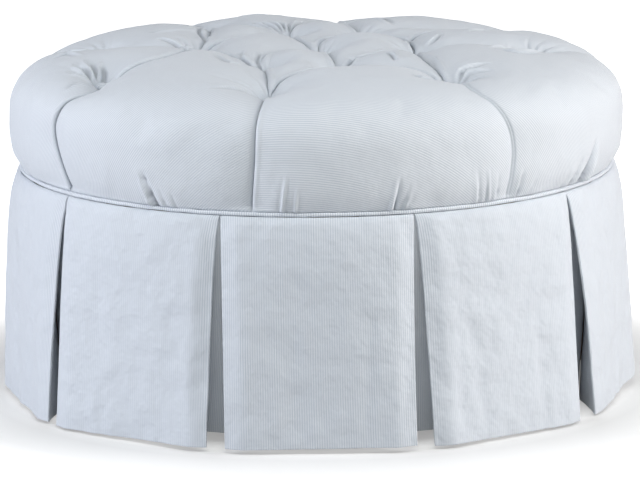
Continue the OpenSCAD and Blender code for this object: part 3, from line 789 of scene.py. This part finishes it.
def blurred(grid, rows, columns):
    """A grid of values over arc length and azimuth, smoothed by a bell of the given widths in cells."""
    pad = 3 * int(rows + 1)
    wide = np.pad(grid, ((pad, pad), (0, 0), (0, 0)), mode="edge")
    down, around = np.fft.fftfreq(wide.shape[0])[:, None], np.fft.fftfreq(wide.shape[1])[None, :]
    bell = np.exp(-2 * math.pi ** 2 * ((down * rows) ** 2 + (around * columns) ** 2))
    return np.fft.ifft2(np.fft.fft2(wide, axes=(0, 1)) * bell[..., None], axes=(0, 1)).real[pad:-pad]


def simulated_wrinkles():
    """Runs a cloth simulation on a coarse copy of the cover, held at tufts, folds and foot and blown up.
    Gives the wrinkles as moves in space over a grid of arc length and azimuth."""
    even = [np.arange(SIM_COLUMNS) / SIM_COLUMNS] * LOBES
    rings, s = [(0.0, 1)], 0.0
    while s < FOOT_S - 0.001:
        s = min(s + SIM_STEP, FOOT_S)
        rings.append((s, ring_count(s, SIM_COLUMNS * LOBES)))
    s = np.concatenate([np.full(n, level) for level, n in rings])
    az = np.concatenate([[0.0]] + [column_az(level, n, even) for level, n in rings[1:]])
    start, _ = cushion_points(s, az)
    cover = new_mesh("cover_simulation", start, ring_faces([n for _, n in rings])[0], None)

    p = plan(s, az)
    r = np.interp(s, LINE_S, LINE_R)
    tuft_gap = tuft_distance(p)
    side_gap = np.full(len(s), 1.0)
    for i in range(LOBES):
        beyond = np.maximum(0, OUTER_TUFT_S[i] - s)
        side_gap = np.minimum(side_gap, np.hypot(arc(r, az - pleat_az(i, s)), beyond))
    held = np.maximum(ease((0.020 - tuft_gap) / 0.008), bell(nearest_fold(p)[0], HOLD_REACH))
    held = np.maximum(held, np.maximum(bell(side_gap, HOLD_REACH), s > FOOT_S - 0.004))
    loose = bell(tuft_gap, SLACK_REACH)
    for name, weights in (("held", held), ("loose", loose)):
        group = cover.vertex_groups.new(name=name)
        for index in np.nonzero(weights > 0.01)[0].tolist():
            group.add([index], float(weights[index]), "REPLACE")

    cloth = cover.modifiers.new("cloth", "CLOTH")
    rules = cloth.settings
    rules.quality = 5
    rules.mass = 0.05
    rules.tension_stiffness = rules.compression_stiffness = 15
    rules.shear_stiffness = 5
    rules.bending_stiffness = 0.2
    rules.vertex_group_mass = "held"
    rules.vertex_group_shrink = "loose"
    rules.shrink_min, rules.shrink_max = 0.0, -SLACK
    rules.use_pressure = True
    rules.uniform_pressure_force = AIR_PRESSURE
    rules.effector_weights.gravity = 0
    cloth.point_cache.frame_start, cloth.point_cache.frame_end = 1, SIM_FRAMES
    for frame_number in range(1, SIM_FRAMES + 1):
        bpy.context.scene.frame_set(frame_number)
    settled = cover.evaluated_get(bpy.context.evaluated_depsgraph_get()).data
    end = np.zeros(len(start) * 3, np.float32)
    settled.vertices.foreach_get("co", end)
    moved = end.reshape(-1, 3) - start
    mesh = cover.data
    bpy.data.objects.remove(cover)
    bpy.data.meshes.remove(mesh)
    bpy.context.scene.frame_set(1)

    turns = np.arange(0, 360, CELL_AZ)
    rows, base = [], 0
    for _, n in rings:
        part = slice(base, base + n)
        rows.append([np.interp(turns, az[part], moved[part, k], period=360) for k in range(3)])
        base += n
    levels = np.array([level for level, _ in rings])
    lines = np.arange(0, FOOT_S + CELL_S, CELL_S)
    cell = np.clip(np.searchsorted(levels, lines) - 1, 0, len(levels) - 2)
    share = np.clip((lines - levels[cell]) / (levels[cell + 1] - levels[cell]), 0, 1)[:, None, None]
    rows = np.array(rows).transpose(0, 2, 1)
    grid = rows[cell] * (1 - share) + rows[cell + 1] * share
    fine = blurred(grid, *FINE_BLUR) - blurred(grid, *WIDE_BLUR)
    length = np.linalg.norm(fine, axis=2, keepdims=True)
    return fine * np.tanh(length / WRINKLE_CAP) / np.maximum(length / WRINKLE_CAP, 1e-6)


def wrinkled(skin, s, az, grid):
    """The skin moved by the wrinkles at each point's arc length and azimuth, which fade out at the foot."""
    row = np.clip(s / CELL_S, 0, len(grid) - 1.001)
    column = az % 360 / CELL_AZ
    i, j = row.astype(int), column.astype(int)
    f, g = (row - i)[:, None], (column - j)[:, None]
    j, k = j % grid.shape[1], (j + 1) % grid.shape[1]
    above = grid[i, j] * (1 - g) + grid[i, k] * g
    below = grid[i + 1, j] * (1 - g) + grid[i + 1, k] * g
    return skin + (above * (1 - f) + below * f) * ease((FOOT_S - s) / 0.01)[:, None]


def build_cushion(material):
    crowded = [lobe_spacing(i) for i in range(LOBES)]
    rings, s = [(0.0, 1)], 0.0
    while s < FOOT_S - RING_STEP / 2:
        s = min(s + (SIDE_RING_STEP if TOP_S <= s < LOW_SIDE_S else RING_STEP), FOOT_S)
        count = ring_count(s, COLUMNS)
        if s == FOOT_S:
            rings.append((FOOT_S - 0.0005, count))
        rings.append((s, count))
    ring_s = np.concatenate([np.full(n, s) for s, n in rings])
    ring_az = np.concatenate([np.zeros(1)] + [column_az(s, n, crowded) for s, n in rings[1:]])
    on_top = ring_s < TOP_S
    ring_s[on_top], ring_az[on_top] = gathered(ring_s[on_top], ring_az[on_top])
    skin, painted_crease_shade = cushion_points(ring_s, ring_az)
    skin = wrinkled(skin, ring_s, ring_az, simulated_wrinkles())

    # The skin turns in behind the welt, under the batting and up over the foam pad
    low, top = DECK_TOP + SEAT, DECK_TOP + FOAM_H + SEAT
    edge_r, edge_z = FOAM_R - FOAM_EDGE_R, DECK_TOP + FOAM_H - FOAM_EDGE_R
    inner = [(GROOVE_R, FOOT_Z - WELT_D / 5, COLUMNS), (GROOVE_R, low, COLUMNS),
             (GROOVE_R - 0.010, low, COLUMNS // 2), (FOAM_R + SEAT, low, COLUMNS // 4),
             (FOAM_R + SEAT, edge_z, COLUMNS // 4)]
    for q in np.linspace(15, 90, 6):
        reach = FOAM_EDGE_R * math.cos(math.radians(q))
        rise = FOAM_EDGE_R * math.sin(math.radians(q))
        inner.append((edge_r + reach + SEAT, edge_z + rise + SEAT, COLUMNS // 4))
    inner += [(0.20, top, COLUMNS // 8), (0.08, top, COLUMNS // 16)]
    last_az = column_az(FOOT_S, COLUMNS, crowded)
    inner_az = [last_az[:: COLUMNS // n] for _, _, n in inner]
    parts = [raised(plan(r, ring), z) for (r, z, _), ring in zip(inner, inner_az)]
    points = np.concatenate([skin] + parts + [np.array([[0, 0, top]])])
    faces, shares = ring_faces([n for _, n in rings] + [n for _, _, n in inner] + [1])

    # Cloth coordinates: the unfolded plane, with each lobe's cloth turned a little on the side
    all_s = np.concatenate([ring_s, np.full(len(points) - len(ring_s), FOOT_S)])
    all_az = np.concatenate([ring_az] + inner_az + [[0]])
    corners = corner_list(faces)
    lobe = np.repeat((shares * LOBES).astype(int), [len(f) for f in faces])
    twist = LOBE_TWIST[lobe] * ease((all_s[corners] - 0.30) / 0.12)
    uvs = plan(all_s[corners], all_az[corners] + twist)
    cushion = new_mesh("cushion", points, faces, material, uvs)
    # The painted crease shade, for the material to darken the creases by
    point_layer(cushion, "crease_shade", painted_crease_shade)
    striped = ease((ring_s - STRIPES_S) / STRIPES_FADE) * beside_folds(ring_s, ring_az)
    point_layer(cushion, "plain", 1 - striped)
    return cushion


# Sheets of even thickness between two grids of points
def sheet_faces(rows, n):
    half = rows * n
    index = np.arange(half).reshape(rows, n)
    a, b = index[:-1, :-1].ravel(), index[:-1, 1:].ravel()
    d, c = index[1:, :-1].ravel(), index[1:, 1:].ravel()
    front = np.stack([a, d, c, b], 1)
    back = np.stack([a, b, c, d], 1) + half
    rims = []
    for line, flip in ((index[0], False), (index[-1], True), (index[:, 0], True), (index[:, -1], False)):
        p, q = line[:-1], line[1:]
        quad = np.stack([p, q, q + half, p + half], 1)
        rims.append(quad[:, ::-1] if flip else quad)
    return np.concatenate([front, back] + rims)


def build_sheet(name, front, back, cloth, material):
    """front and back are grids of points, cloth is a grid of UVs in metres."""
    rows, n = front.shape[:2]
    points = np.concatenate([front.reshape(-1, 3), back.reshape(-1, 3)])
    faces = sheet_faces(rows, n)
    uv = np.concatenate([cloth.reshape(-1, 2)] * 2)
    return new_mesh(name, points, faces, material, uv[faces.ravel()])


# Powers by which the skirt's flare, the gaps between panels and the straightness of rows grow towards the hem
FLARE_POWER, GAP_POWER, STRAIGHT_POWER = 0.55, 0.65, 0.8


def corner_r(t):
    return SKIRT_R + HEM_FLARE * t ** FLARE_POWER


def corner_az(t):
    return 180 / SKIRT_PANELS - math.degrees((SEAT + HEM_GAP * t ** GAP_POWER) / 2 / corner_r(t))


def drop_curve(r, half_az, u, straight, inward):
    """Points between two corners, on an arc at the top and a straight line at the hem, sunk inwards."""
    u = np.asarray(u, float)
    half = math.radians(half_az)
    arc = plan(r, u * half_az)
    chord = np.stack([u * r * math.sin(half), np.full(u.shape, -r * math.cos(half))], -1)
    p = arc + (chord - arc) * straight
    length = np.hypot(p[..., 0], p[..., 1])
    return p - np.asarray(inward)[..., None] * p / length[..., None]


FACE_STEPS = 44
BEND_STEPS = 7
RUN_STEPS = 9
TURN_W = 0.025
# How far a panel's face stands out beyond the pattern, at the top and more at the hem
TOP_SWELL = 0.0010
HEM_SWELL = 0.0086
SWELL_RISE = 0.08


def panel_row(t, depth, full=1.0):
    """One row of a panel: folded-back end, fold, face, fold and folded-back end, at a depth in the cloth
    from 0 to 1. full is the share of its usual swell."""
    r = corner_r(t)
    a = corner_az(t)
    s = t ** STRAIGHT_POWER
    half_w = r * math.radians(a)
    fold_r = CLOTH_T + FOLD_GAP / 2
    round_r = fold_r - depth * CLOTH_T
    edge_u = 1 - fold_r / half_w
    run_u = 1 - PLEAT_RUN / half_w
    rear = fold_r + round_r
    bend = 180 / (BEND_STEPS + 1)
    q = np.radians(np.linspace(bend, 180 - bend, BEND_STEPS))
    f = np.linspace(0.02, 1, RUN_STEPS)
    right = np.concatenate([
        drop_curve(r, a, edge_u + round_r / half_w * np.sin(q), s, fold_r - round_r * np.cos(q)),
        drop_curve(r, a, edge_u + (run_u - edge_u) * f, s, rear + PLEAT_DEPTH * t * f)])
    left = right[::-1] * np.array([-1, 1])
    # The face turns in towards both folds
    u = np.linspace(-edge_u, edge_u, FACE_STEPS + 1)
    turned = np.clip(1 - (edge_u - np.abs(u)) * half_w / TURN_W, 0, 1) ** 1.06
    swell = full * (TOP_SWELL + HEM_SWELL * (1 - math.exp(-t / SWELL_RISE))) * (1 - turned)
    face = drop_curve(r, a, u, s, depth * CLOTH_T - swell)
    return np.concatenate([left, face, right])


def spun(points, az):
    """Points turned about +Z."""
    a = math.radians(az)
    x = points[..., 0] * math.cos(a) - points[..., 1] * math.sin(a)
    y = points[..., 0] * math.sin(a) + points[..., 1] * math.cos(a)
    return np.stack([x, y, points[..., 2]], -1)


DROP_ROWS = 56
DROPS = np.concatenate([np.linspace(0, 1, DROP_ROWS - 1)[:-1] ** 1.15, [0.9975, 1]])


def cloth_lengths(grid):
    """Distance along each row of a grid, from its middle."""
    steps = np.linalg.norm(np.diff(grid, axis=1), axis=2)
    along = np.concatenate([np.zeros((len(grid), 1)), np.cumsum(steps, axis=1)], 1)
    return along - along[:, along.shape[1] // 2][:, None]


# How far a panel's hem corners hang off the pattern, left and right: across, down and out
HEM_CORNERS = {
    1: ((-0.0004, 0.0025, 0), (0.0065, 0, 0)), 2: ((0.0050, 0.0035, 0), (0.0035, 0.0055, 0)),
    3: ((0.0185, 0.0058, 0.0070), (0, -0.0045, 0.0006)), 4: ((0, 0, -0.0050), (0, 0.0020, 0)),
    8: ((0, 0.0010, 0), (0, 0.0010, -0.0070)), 9: ((0, 0.0010, -0.0070), (0.0030, 0.0050, 0)),
    10: ((-0.0060, 0.0060, 0), (0.0015, 0.0020, 0)),
}
# Panels whose face swells less, and the share of the usual swell that they keep
FLATTER_PANELS = {3: 0.30}
# Ranges of the faint hollows in a panel: place, lean, start and width of the upright ones, and level, lean,
# width and depth of those across it
UPRIGHT_HOLLOWS = ((-0.11, 0.11), (-0.05, 0.05), (0.05, 0.4), (0.005, 0.013))
LEVEL_HOLLOWS = ((0.2, 0.9), (-0.5, 0.5), (0.010, 0.020), (0.0004, 0.0009))
UPRIGHT_DEPTH = 0.0011
# Waves in a panel: heights of the soft ones, the small ones and those near the top
SOFT_WAVE_H, SMALL_WAVE_H, TOP_WAVE_H = 0.0021, 0.0005, 0.0012
# About the width and the height of a panel's face
FACE_W, DROP_H = 0.27, 0.32


def panel_moves(i, grid):
    """How a panel hangs off its pattern: across, out and up for each point, the same for all its layers."""
    x = grid[..., 0]
    drop = (SKIRT_Z - grid[..., 2]) / SKIRT_H
    draw = np.random.default_rng(40 + i)

    def waves(across, down, length, count, seed):
        flat = np.stack([x * across, drop * down], -1).reshape(-1, 2)
        return wave_field(flat, length, count, seed + i).reshape(x.shape)

    out = SOFT_WAVE_H * waves(2.4, DROP_H, 0.26, 7, 100) * (0.15 + drop)
    out += SMALL_WAVE_H * waves(2.4, DROP_H, 0.075, 9, 200) * (0.3 + drop)
    for _ in range(4):
        place, lean, start, width = (draw.uniform(*r) for r in UPRIGHT_HOLLOWS)
        across = x - place - lean * drop
        out -= UPRIGHT_DEPTH * bell(across, width) * ease((drop - start) / 0.3)
    for _ in range(3):
        place, lean, width, depth = (draw.uniform(*r) for r in LEVEL_HOLLOWS)
        level = (drop - place) * DROP_H - lean * x
        middle = draw.uniform(-0.1, 0.1)
        out -= depth * bell(level, width) * ease(1 - np.abs(x - middle) / 0.12)
    out += TOP_WAVE_H * waves(1, 1, 0.06, 5, 300) * np.exp(-drop / 0.10)
    corners = np.array(HEM_CORNERS.get(i, draw.uniform(-0.002, 0.003, (2, 3))))
    share = np.clip(0.5 + x / FACE_W, 0, 1)[..., None]
    hang = corners[0] * (1 - share) + corners[1] * share
    drop = np.clip(drop, 0, 1)
    out += hang[..., 2] * drop ** 0.6
    return np.stack([hang[..., 0] * drop ** 2, -out, -hang[..., 1] * drop ** 4], -1)


def skirt_piece(name, pattern, faces, material):
    """A sheet between two grids of points, its cloth measured on the pattern. Gives it, each point's distance
    along its row, and the mean length of the rows."""
    u = cloth_lengths(pattern)
    cloth = np.stack([DROPS[:, None] * SKIRT_H + 0 * u, u], -1)
    return build_sheet(name, *faces, cloth, material), u, float(u[:, -1].mean() - u[:, 0].mean())


def build_panel(i, material):
    full = FLATTER_PANELS.get(i, 1)
    grids = [np.array([raised(panel_row(t, depth, full), SKIRT_Z - t * SKIRT_H) for t in DROPS])
             for depth in (0, 1)]
    moved = [spun(g + panel_moves(i, g), (i - 1) * 360 / SKIRT_PANELS) for g in grids]
    panel, u, length = skirt_piece(f"skirt_panel_cloth_{i}", grids[0], moved, material)
    strip = ease((np.abs(u) - (np.abs(u[:, -1:]) - PLEAT_RUN - TURN_W)) / 0.008)
    plain = np.full(u.shape, 0.3) if i == 1 else 0.85 - 0.6 * strip
    point_layer(panel, "plain", np.tile(plain.ravel(), 2))
    return panel, (length, SKIRT_H)


INSERT_STEPS = 24
# How far the middle of an insert stands out before its edges near the hem
INSERT_BOW = 0.016


def build_insert(i, material):
    last_t = 1 - INSERT_LIFT / SKIRT_H
    grids = []
    for depth in (0, 1):
        rows = []
        for t in DROPS * last_t:
            edge = panel_row(t, 0)[-1]
            turned = spun(np.array([edge[0], edge[1], 0]), -180 / SKIRT_PANELS)
            u = np.linspace(-1, 1, INSERT_STEPS + 1)
            half = math.degrees(math.atan2(abs(turned[0]), -turned[1]))
            inward = FOLD_GAP + depth * CLOTH_T - INSERT_BOW * t ** 0.6 * (1 - u ** 2)
            row = drop_curve(math.hypot(turned[0], turned[1]), half, u, t ** STRAIGHT_POWER, inward)
            rows.append(raised(row, SKIRT_Z - t * SKIRT_H))
        grids.append(np.array(rows))
    pattern = grids[0]
    # Its two edges follow the panels they lie behind
    ends = np.array([raised(panel_row(t, 0)[-1:], SKIRT_Z - t * SKIRT_H) for t in DROPS * last_t])
    half = 180 / SKIRT_PANELS
    left = spun(panel_moves(i, ends), -half)
    right = spun(panel_moves(i % SKIRT_PANELS + 1, ends * [-1, 1, 1]), half)
    share = np.linspace(0, 1, INSERT_STEPS + 1)[:, None]
    grids = [g + left * (1 - share) + right * share for g in grids]
    turned = [spun(g, (i - 0.5) * 360 / SKIRT_PANELS) for g in grids]
    insert, _, length = skirt_piece(f"pleat_insert_cloth_{i}", pattern, turned, material)
    return insert, (length, SKIRT_H * last_t)


# The welt's unevenness: how far it wanders up and down, and the share by which its thickness varies
WELT_WANDER = 0.0003
WELT_LUMPS = 0.03


def build_welt(material):
    """The welt: cloth wrapped round a cord, a little uneven, with its stripes running across it."""
    around, ring = 960, 20
    a = np.radians(np.arange(around) * 360 / around)
    q = np.radians(np.arange(ring) * 360 / ring)
    place = np.stack([np.cos(a), np.sin(a)], 1)
    wander = WELT_WANDER * wave_field(place, 0.09, 8, 5)
    radius = WELT_D / 2 * (1 + WELT_LUMPS * wave_field(place, 0.03, 8, 6)) - 0.0001
    r = WELT_R + radius[:, None] * np.cos(q)
    z = WELT_Z + WELT_WANDER + wander[:, None] + radius[:, None] * np.sin(q)
    points = np.stack([r * np.sin(a)[:, None], -r * np.cos(a)[:, None], z], -1).reshape(-1, 3)
    index = np.arange(around * ring).reshape(around, ring)
    nxt = np.roll(index, -1, axis=0)
    faces = np.stack([nxt, np.roll(nxt, -1, axis=1), np.roll(index, -1, axis=1), index], -1).reshape(-1, 4)
    along = np.arange(around + 1) * 2 * math.pi * WELT_R / around
    around_uv = np.arange(ring + 1) * math.pi * WELT_D / ring
    i, j = np.meshgrid(np.arange(around), np.arange(ring), indexing="ij")
    corner_uv = np.stack([np.stack([around_uv[j + dj], along[i + di]], -1)
                          for di, dj in ((1, 0), (1, 1), (0, 1), (0, 0))], 2)
    return new_mesh("welt_cloth_wrap", points, faces, material, corner_uv.reshape(-1, 2))


cover_cloth = striped_cloth("cover_cloth", rgb(227, 231, 236), rgb(197, 204, 213))
skirt_cloth = striped_cloth("skirt_cloth", rgb(226, 230, 236), rgb(192, 200, 210), 0.0075)
# The inserts' cloth is painted lighter than the skirt's, as painted light in the shaded gaps between the
# panels
insert_cloth = striped_cloth("insert_cloth", rgb(240, 243, 247), rgb(222, 227, 234))
welt_cloth = striped_cloth("welt_cloth", rgb(232, 236, 241), rgb(196, 204, 214))

cushion = build_cushion(cover_cloth)
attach(cushion, "root")
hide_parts("tufted_cover")

welt = build_welt(welt_cloth)
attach(welt, "root")
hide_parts("welt_cord")

for i in range(1, SKIRT_PANELS + 1):
    panel, flat = build_panel(i, skirt_cloth)
    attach(panel, "root")
    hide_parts(f"skirt_panel_{i}")
    insert, flat = build_insert(i, insert_cloth)
    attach(insert, "root")
    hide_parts(f"pleat_insert_{i}")

# Materials of the construction inside and underneath: two tones, the noise's scale, roughness, depth of the
# bump, how the grain is stretched, and how metallic it is
FINISHES = {
    "plywood": ((214, 184, 138), (190, 154, 104), 9, 0.6, 0.0004, (1, 14, 14)),
    "softwood": ((228, 200, 156), (204, 168, 116), 12, 0.65, 0.0005, (8, 8, 1)),
    "fibreboard": ((146, 102, 62), (122, 82, 48), 160, 0.8, 0.0002),
    "stained_wood": ((92, 58, 36), (62, 38, 24), 14, 0.42, 0.0003, (6, 6, 1)),
    "tack_card": ((178, 150, 108), (160, 132, 92), 240, 0.85, 0.0002),
    "foam": ((236, 226, 190), (222, 210, 170), 420, 0.95, 0.0006),
    "twine": ((232, 224, 206), (206, 196, 172), 900, 0.8, 0.0003),
    "washer_fibre": ((120, 112, 100), (98, 90, 80), 300, 0.8, 0.0002),
    "steel": ((176, 178, 182), (140, 142, 146), 200, 0.36, 0.0001, (1, 1, 1), 1.0),
    "glide_plastic": ((212, 212, 208), (200, 200, 196), 300, 0.45, 0.00005),
    "dust_cloth": ((44, 44, 47), (34, 34, 36), 700, 0.9, 0.0002),
}
finishes = {name: plain_material(name, *row) for name, row in FINISHES.items()}


def build_buttons(material):
    """Covered buttons: a dome drawn in over its rim, with small pleats of cloth round the edge."""
    points, faces = [], []
    around = 24
    profile = [(0.92, 0.0), (1.0, 0.16), (0.985, 0.34), (0.93, 0.52), (0.80, 0.72), (0.60, 0.88),
               (0.32, 0.97)]
    for r, az in zip(TUFT_R, TUFT_AZ):
        x, y = plan(r, az)
        seat = crown_height(r) - TUFT_DEPTH + 0.0002
        first = len(points)
        for level, (wide, tall) in enumerate(profile):
            for k in range(around):
                pleat = 1 - 0.03 * (k % 2) * (level < 3)
                a = 2 * math.pi * k / around
                reach = BUTTON_D / 2 * wide * pleat
                points.append((x + reach * math.cos(a), y + reach * math.sin(a), seat + BUTTON_H * tall))
        points += [(x, y, seat + BUTTON_H), (x, y, seat)]
        for level in range(len(profile) - 1):
            a, b = first + level * around, first + (level + 1) * around
            faces += [(a + k, a + (k + 1) % around, b + (k + 1) % around, b + k) for k in range(around)]
        last, top = first + (len(profile) - 1) * around, len(points) - 2
        faces += [(last + k, last + (k + 1) % around, top) for k in range(around)]
        faces += [(first + (k + 1) % around, first + k, top + 1) for k in range(around)]
    points = np.array(points)
    return new_mesh("covered_buttons", points, faces, material, points[corner_list(faces), :2])


HOLE_MARGIN = 0.004


def punched(name, outer_r, holes, rings, top, bottom, material):
    """A round piece with round holes, its top and bottom at heights given for points in plan."""
    plan_points, edges = [], []

    def loop(x, y, r, count):
        start = len(plan_points)
        a = np.arange(count) * 2 * math.pi / count
        plan_points.extend(zip((x + r * np.cos(a)).tolist(), (y + r * np.sin(a)).tolist()))
        return start

    for x, y, r, count in [(0, 0, outer_r, 128)] + holes:
        start = loop(x, y, r, count)
        edges += [(start + k, start + (k + 1) % count) for k in range(count)]
    kept = np.array([h[:3] for h in holes])
    for r in rings:
        for x, y in plan(r, np.arange(0, 360, 360 / max(8, round(r * 160) * 2))):
            if (np.hypot(x - kept[:, 0], y - kept[:, 1]) > kept[:, 2] + HOLE_MARGIN).all():
                plan_points.append((float(x), float(y)))
    flat, _, faces, *_ = geometry.delaunay_2d_cdt([Vector(p) for p in plan_points], edges, [], 0, 1e-7)
    flat = np.array([tuple(v) for v in flat])
    faces = np.array(faces)
    middle = flat[faces].mean(1)
    gap = np.hypot(middle[:, None, 0] - kept[:, 0], middle[:, None, 1] - kept[:, 1])
    faces = faces[(gap > kept[:, 2] * 0.999).all(1)]
    pairs = np.concatenate([faces[:, [0, 1]], faces[:, [1, 2]], faces[:, [2, 0]]])
    seen = {(int(a), int(b)) for a, b in pairs}
    rim = np.array([(a, b) for a, b in seen if (b, a) not in seen])
    rim = rim[np.lexsort(rim.T)]
    n = len(flat)
    walls = np.stack([rim[:, 0], rim[:, 0] + n, rim[:, 1] + n, rim[:, 1]], 1)
    points = np.concatenate([np.column_stack([flat, top(flat)]), np.column_stack([flat, bottom(flat)])])
    all_faces = faces.tolist() + (faces[:, ::-1] + n).tolist() + walls.tolist()
    return new_mesh(name, points, all_faces, material)


TUFT_PLACES = plan(np.array(TUFT_R), TUFT_AZ)
TWINE_HOLE_R = 0.0014
DENT_R = 0.03
DENT_DEPTH = 0.004


def foam_top(p):
    r = np.hypot(p[:, 0], p[:, 1])
    reach = np.clip(r - (FOAM_R - FOAM_EDGE_R), 0, FOAM_EDGE_R)
    dents = sum(np.exp(-((p[:, 0] - x) ** 2 + (p[:, 1] - y) ** 2) / DENT_R ** 2) for x, y in TUFT_PLACES)
    top = foam_high.z - FOAM_EDGE_R + np.sqrt(FOAM_EDGE_R ** 2 - reach ** 2)
    return top - DENT_DEPTH * dents * (reach < FOAM_EDGE_R)


def build_foam(material):
    holes = [(x, y, TWINE_HOLE_R, 8) for x, y in TUFT_PLACES.tolist()]
    bend = np.radians(range(0, 86, 12))
    rings = np.concatenate([np.arange(0.02, 0.33, 0.02), FOAM_R - FOAM_EDGE_R * (1 - np.sin(bend))])
    return punched("foam_core", FOAM_R, holes, rings, foam_top, lambda p: foam_low.z + 0 * p[:, 0], material)


DUST_COVER_T = 0.0006
DUST_COVER_SAG = 0.004
DUST_COVER_CREASE = 0.0006


def build_dust_cover(material):
    """A black cambric cover stapled under the base ring, with a slight sag and a cut-out round each leg."""
    low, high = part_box("dust_cover")
    outer_r = (high.x - low.x) / 2
    legs = [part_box(f"leg_{i}") for i in range(1, 5)]
    holes = [((a.x + b.x) / 2, (a.y + b.y) / 2, (b.x - a.x) / 2 + SEAT, 40) for a, b in legs]

    def under(p):
        r = np.hypot(p[:, 0], p[:, 1])
        sag = DUST_COVER_SAG * np.clip(1 - (r / 0.31) ** 2, 0, 1) ** 1.5
        creases = DUST_COVER_CREASE * wave_field(p, 0.09, 6, 77) * np.clip(1 - r / 0.33, 0, 1)
        return low.z + 0.0002 - sag + creases
    cover = punched("dust_cover_cloth", outer_r, holes, np.arange(0.02, outer_r - 0.01, 0.02),
                    lambda p: under(p) + DUST_COVER_T, under, material)
    return cover, (2 * outer_r, 2 * outer_r)


buttons = build_buttons(cover_cloth)
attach(buttons, "root")
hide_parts("tuft_buttons")
foam_core = build_foam(finishes["foam"])
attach(foam_core, "root")
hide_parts("foam_pad")
dust_sheet, flat = build_dust_cover(finishes["dust_cloth"])
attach(dust_sheet, "root")
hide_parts("dust_cover")

# What each kind of piece is made of, its number left off
MADE_OF = {
    "tuft_twine": "twine", "tie_off_washers": "washer_fibre", "tack_strip": "tack_card",
    "deck_board": "plywood", "deck_screws": "steel", "ring_screws": "steel", "leg_studs": "steel",
    "leg_t_nuts": "steel",
    "glides": "glide_plastic", "upright": "softwood", "ring_segment": "plywood", "side_board": "fibreboard",
    "leg": "stained_wood",
}
for name, node in nodes.items():
    kind = name.rstrip("0123456789").rstrip("_")
    if kind in MADE_OF:
        node.data.materials.clear()
        node.data.materials.append(finishes[MADE_OF[kind]])


def camera_switch(tree, output, to_camera, otherwise):
    """One shader for what the camera sees, straight or mirrored, and another for all other light."""
    rays = new_node(tree, "LightPath").outputs
    seen = math_node(tree, "MAXIMUM", rays["Is Camera Ray"], rays["Is Glossy Ray"])
    switch = new_node(tree, "MixShader", {0: seen, 1: otherwise, 2: to_camera})
    tree.links.new(switch.outputs[0], tree.nodes[output].inputs["Surface"])


# Floor
FLOOR_HALF = 30
floor_corners = [(x * FLOOR_HALF, y * FLOOR_HALF, 0) for x, y in ((-1, -1), (1, -1), (1, 1), (-1, 1))]
floor_mesh = bpy.data.meshes.new("floor")
floor_mesh.from_pydata(floor_corners, [], [(0, 1, 2, 3)])
floor = bpy.data.objects.new("floor", floor_mesh)
bpy.context.scene.collection.objects.link(floor)
floor_material, tree, shader = new_material("floor")
set_inputs(tree, shader, {"Base Color": (0.6, 0.6, 0.6, 1), "Roughness": 0.9})
# The glow that the camera alone sees is painted light and shade on the floor: lifted under the skirt, a
# painted soft shadow just beyond the hem, then growing away from the object, so the floor runs out to plain
# white
where = new_node(tree, "NewGeometry").outputs["Position"]
reach = new_node(tree, "VectorMath", {0: where}, operation="LENGTH").outputs["Value"]
spread = new_node(tree, "MapRange", {"Value": reach, "From Min": 0.36, "From Max": 0.90}).outputs["Result"]
levels = new_node(tree, "ValToRGB", {0: spread})
for place, value in ((0.0, 0.33), (0.075, 0.38), (0.155, 0.50), (0.205, 0.25), (0.25, 0.21), (0.315, 0.28),
                     (0.39, 0.36), (0.48, 0.50), (0.72, 1.0)):
    stop = levels.color_ramp.elements[0] if place == 0 else levels.color_ramp.elements.new(place)
    stop.color = (value, value, value, 1)
painted_floor_light = new_node(tree, "Emission", {"Strength": levels.outputs[0]})
both = new_node(tree, "AddShader", {0: shader.outputs[0], 1: painted_floor_light.outputs[0]})
camera_switch(tree, "Material Output", both.outputs[0], shader.outputs[0])
floor_mesh.materials.append(floor_material)

# World: white to the camera, and a soft even light on the object
world = bpy.data.worlds.new("world")
world.use_nodes = True
bpy.context.scene.world = world
tree = world.node_tree
sky = tree.nodes["Background"]
set_inputs(tree, sky, {"Color": (0.93, 0.96, 1.0, 1), "Strength": 0.11})
white = new_node(tree, "Background", {"Color": (1, 1, 1, 1), "Strength": 1.0})
camera_switch(tree, "World Output", white.outputs[0], sky.outputs[0])


def area_light(name, place, aim, size, power, colour):
    data = bpy.data.lights.new(name, "AREA")
    data.shape = "RECTANGLE"
    data.size, data.size_y = size
    data.energy = power
    data.color = colour
    light = bpy.data.objects.new(name, data)
    bpy.context.scene.collection.objects.link(light)
    light.location = place
    light.rotation_mode = "QUATERNION"
    light.rotation_quaternion = (Vector(aim) - Vector(place)).to_track_quat("-Z", "Y")


area_light("left", (-3.4, -0.8, 1.0), (0, 0, 0.3), (1.6, 1.8), 71, (0.92, 0.94, 1.0))
area_light("left_high", (-2.6, -1.6, 2.8), (0, 0, 0.4), (1.6, 1.8), 19, (0.84, 0.84, 1.0))
area_light("right", (3.4, -0.8, 1.0), (0, 0, 0.3), (1.6, 1.8), 80, (1.0, 0.945, 0.885))
area_light("right_high", (2.9, -0.8, 2.8), (0, 0, 0.4), (1.6, 1.8), 26, (0.80, 0.84, 1.0))
area_light("front_high", (0.3, -2.4, 3.8), (0, 0, 0.4), (2.4, 1.4), 79, (0.98, 1.0, 0.94))
area_light("front_low", (0.0, -3.8, 0.6), (0, 0, 0.15), (0.8, 0.5), 5.0, (0.85, 0.93, 1.0))

bpy.context.scene.view_settings.view_transform = "Standard"
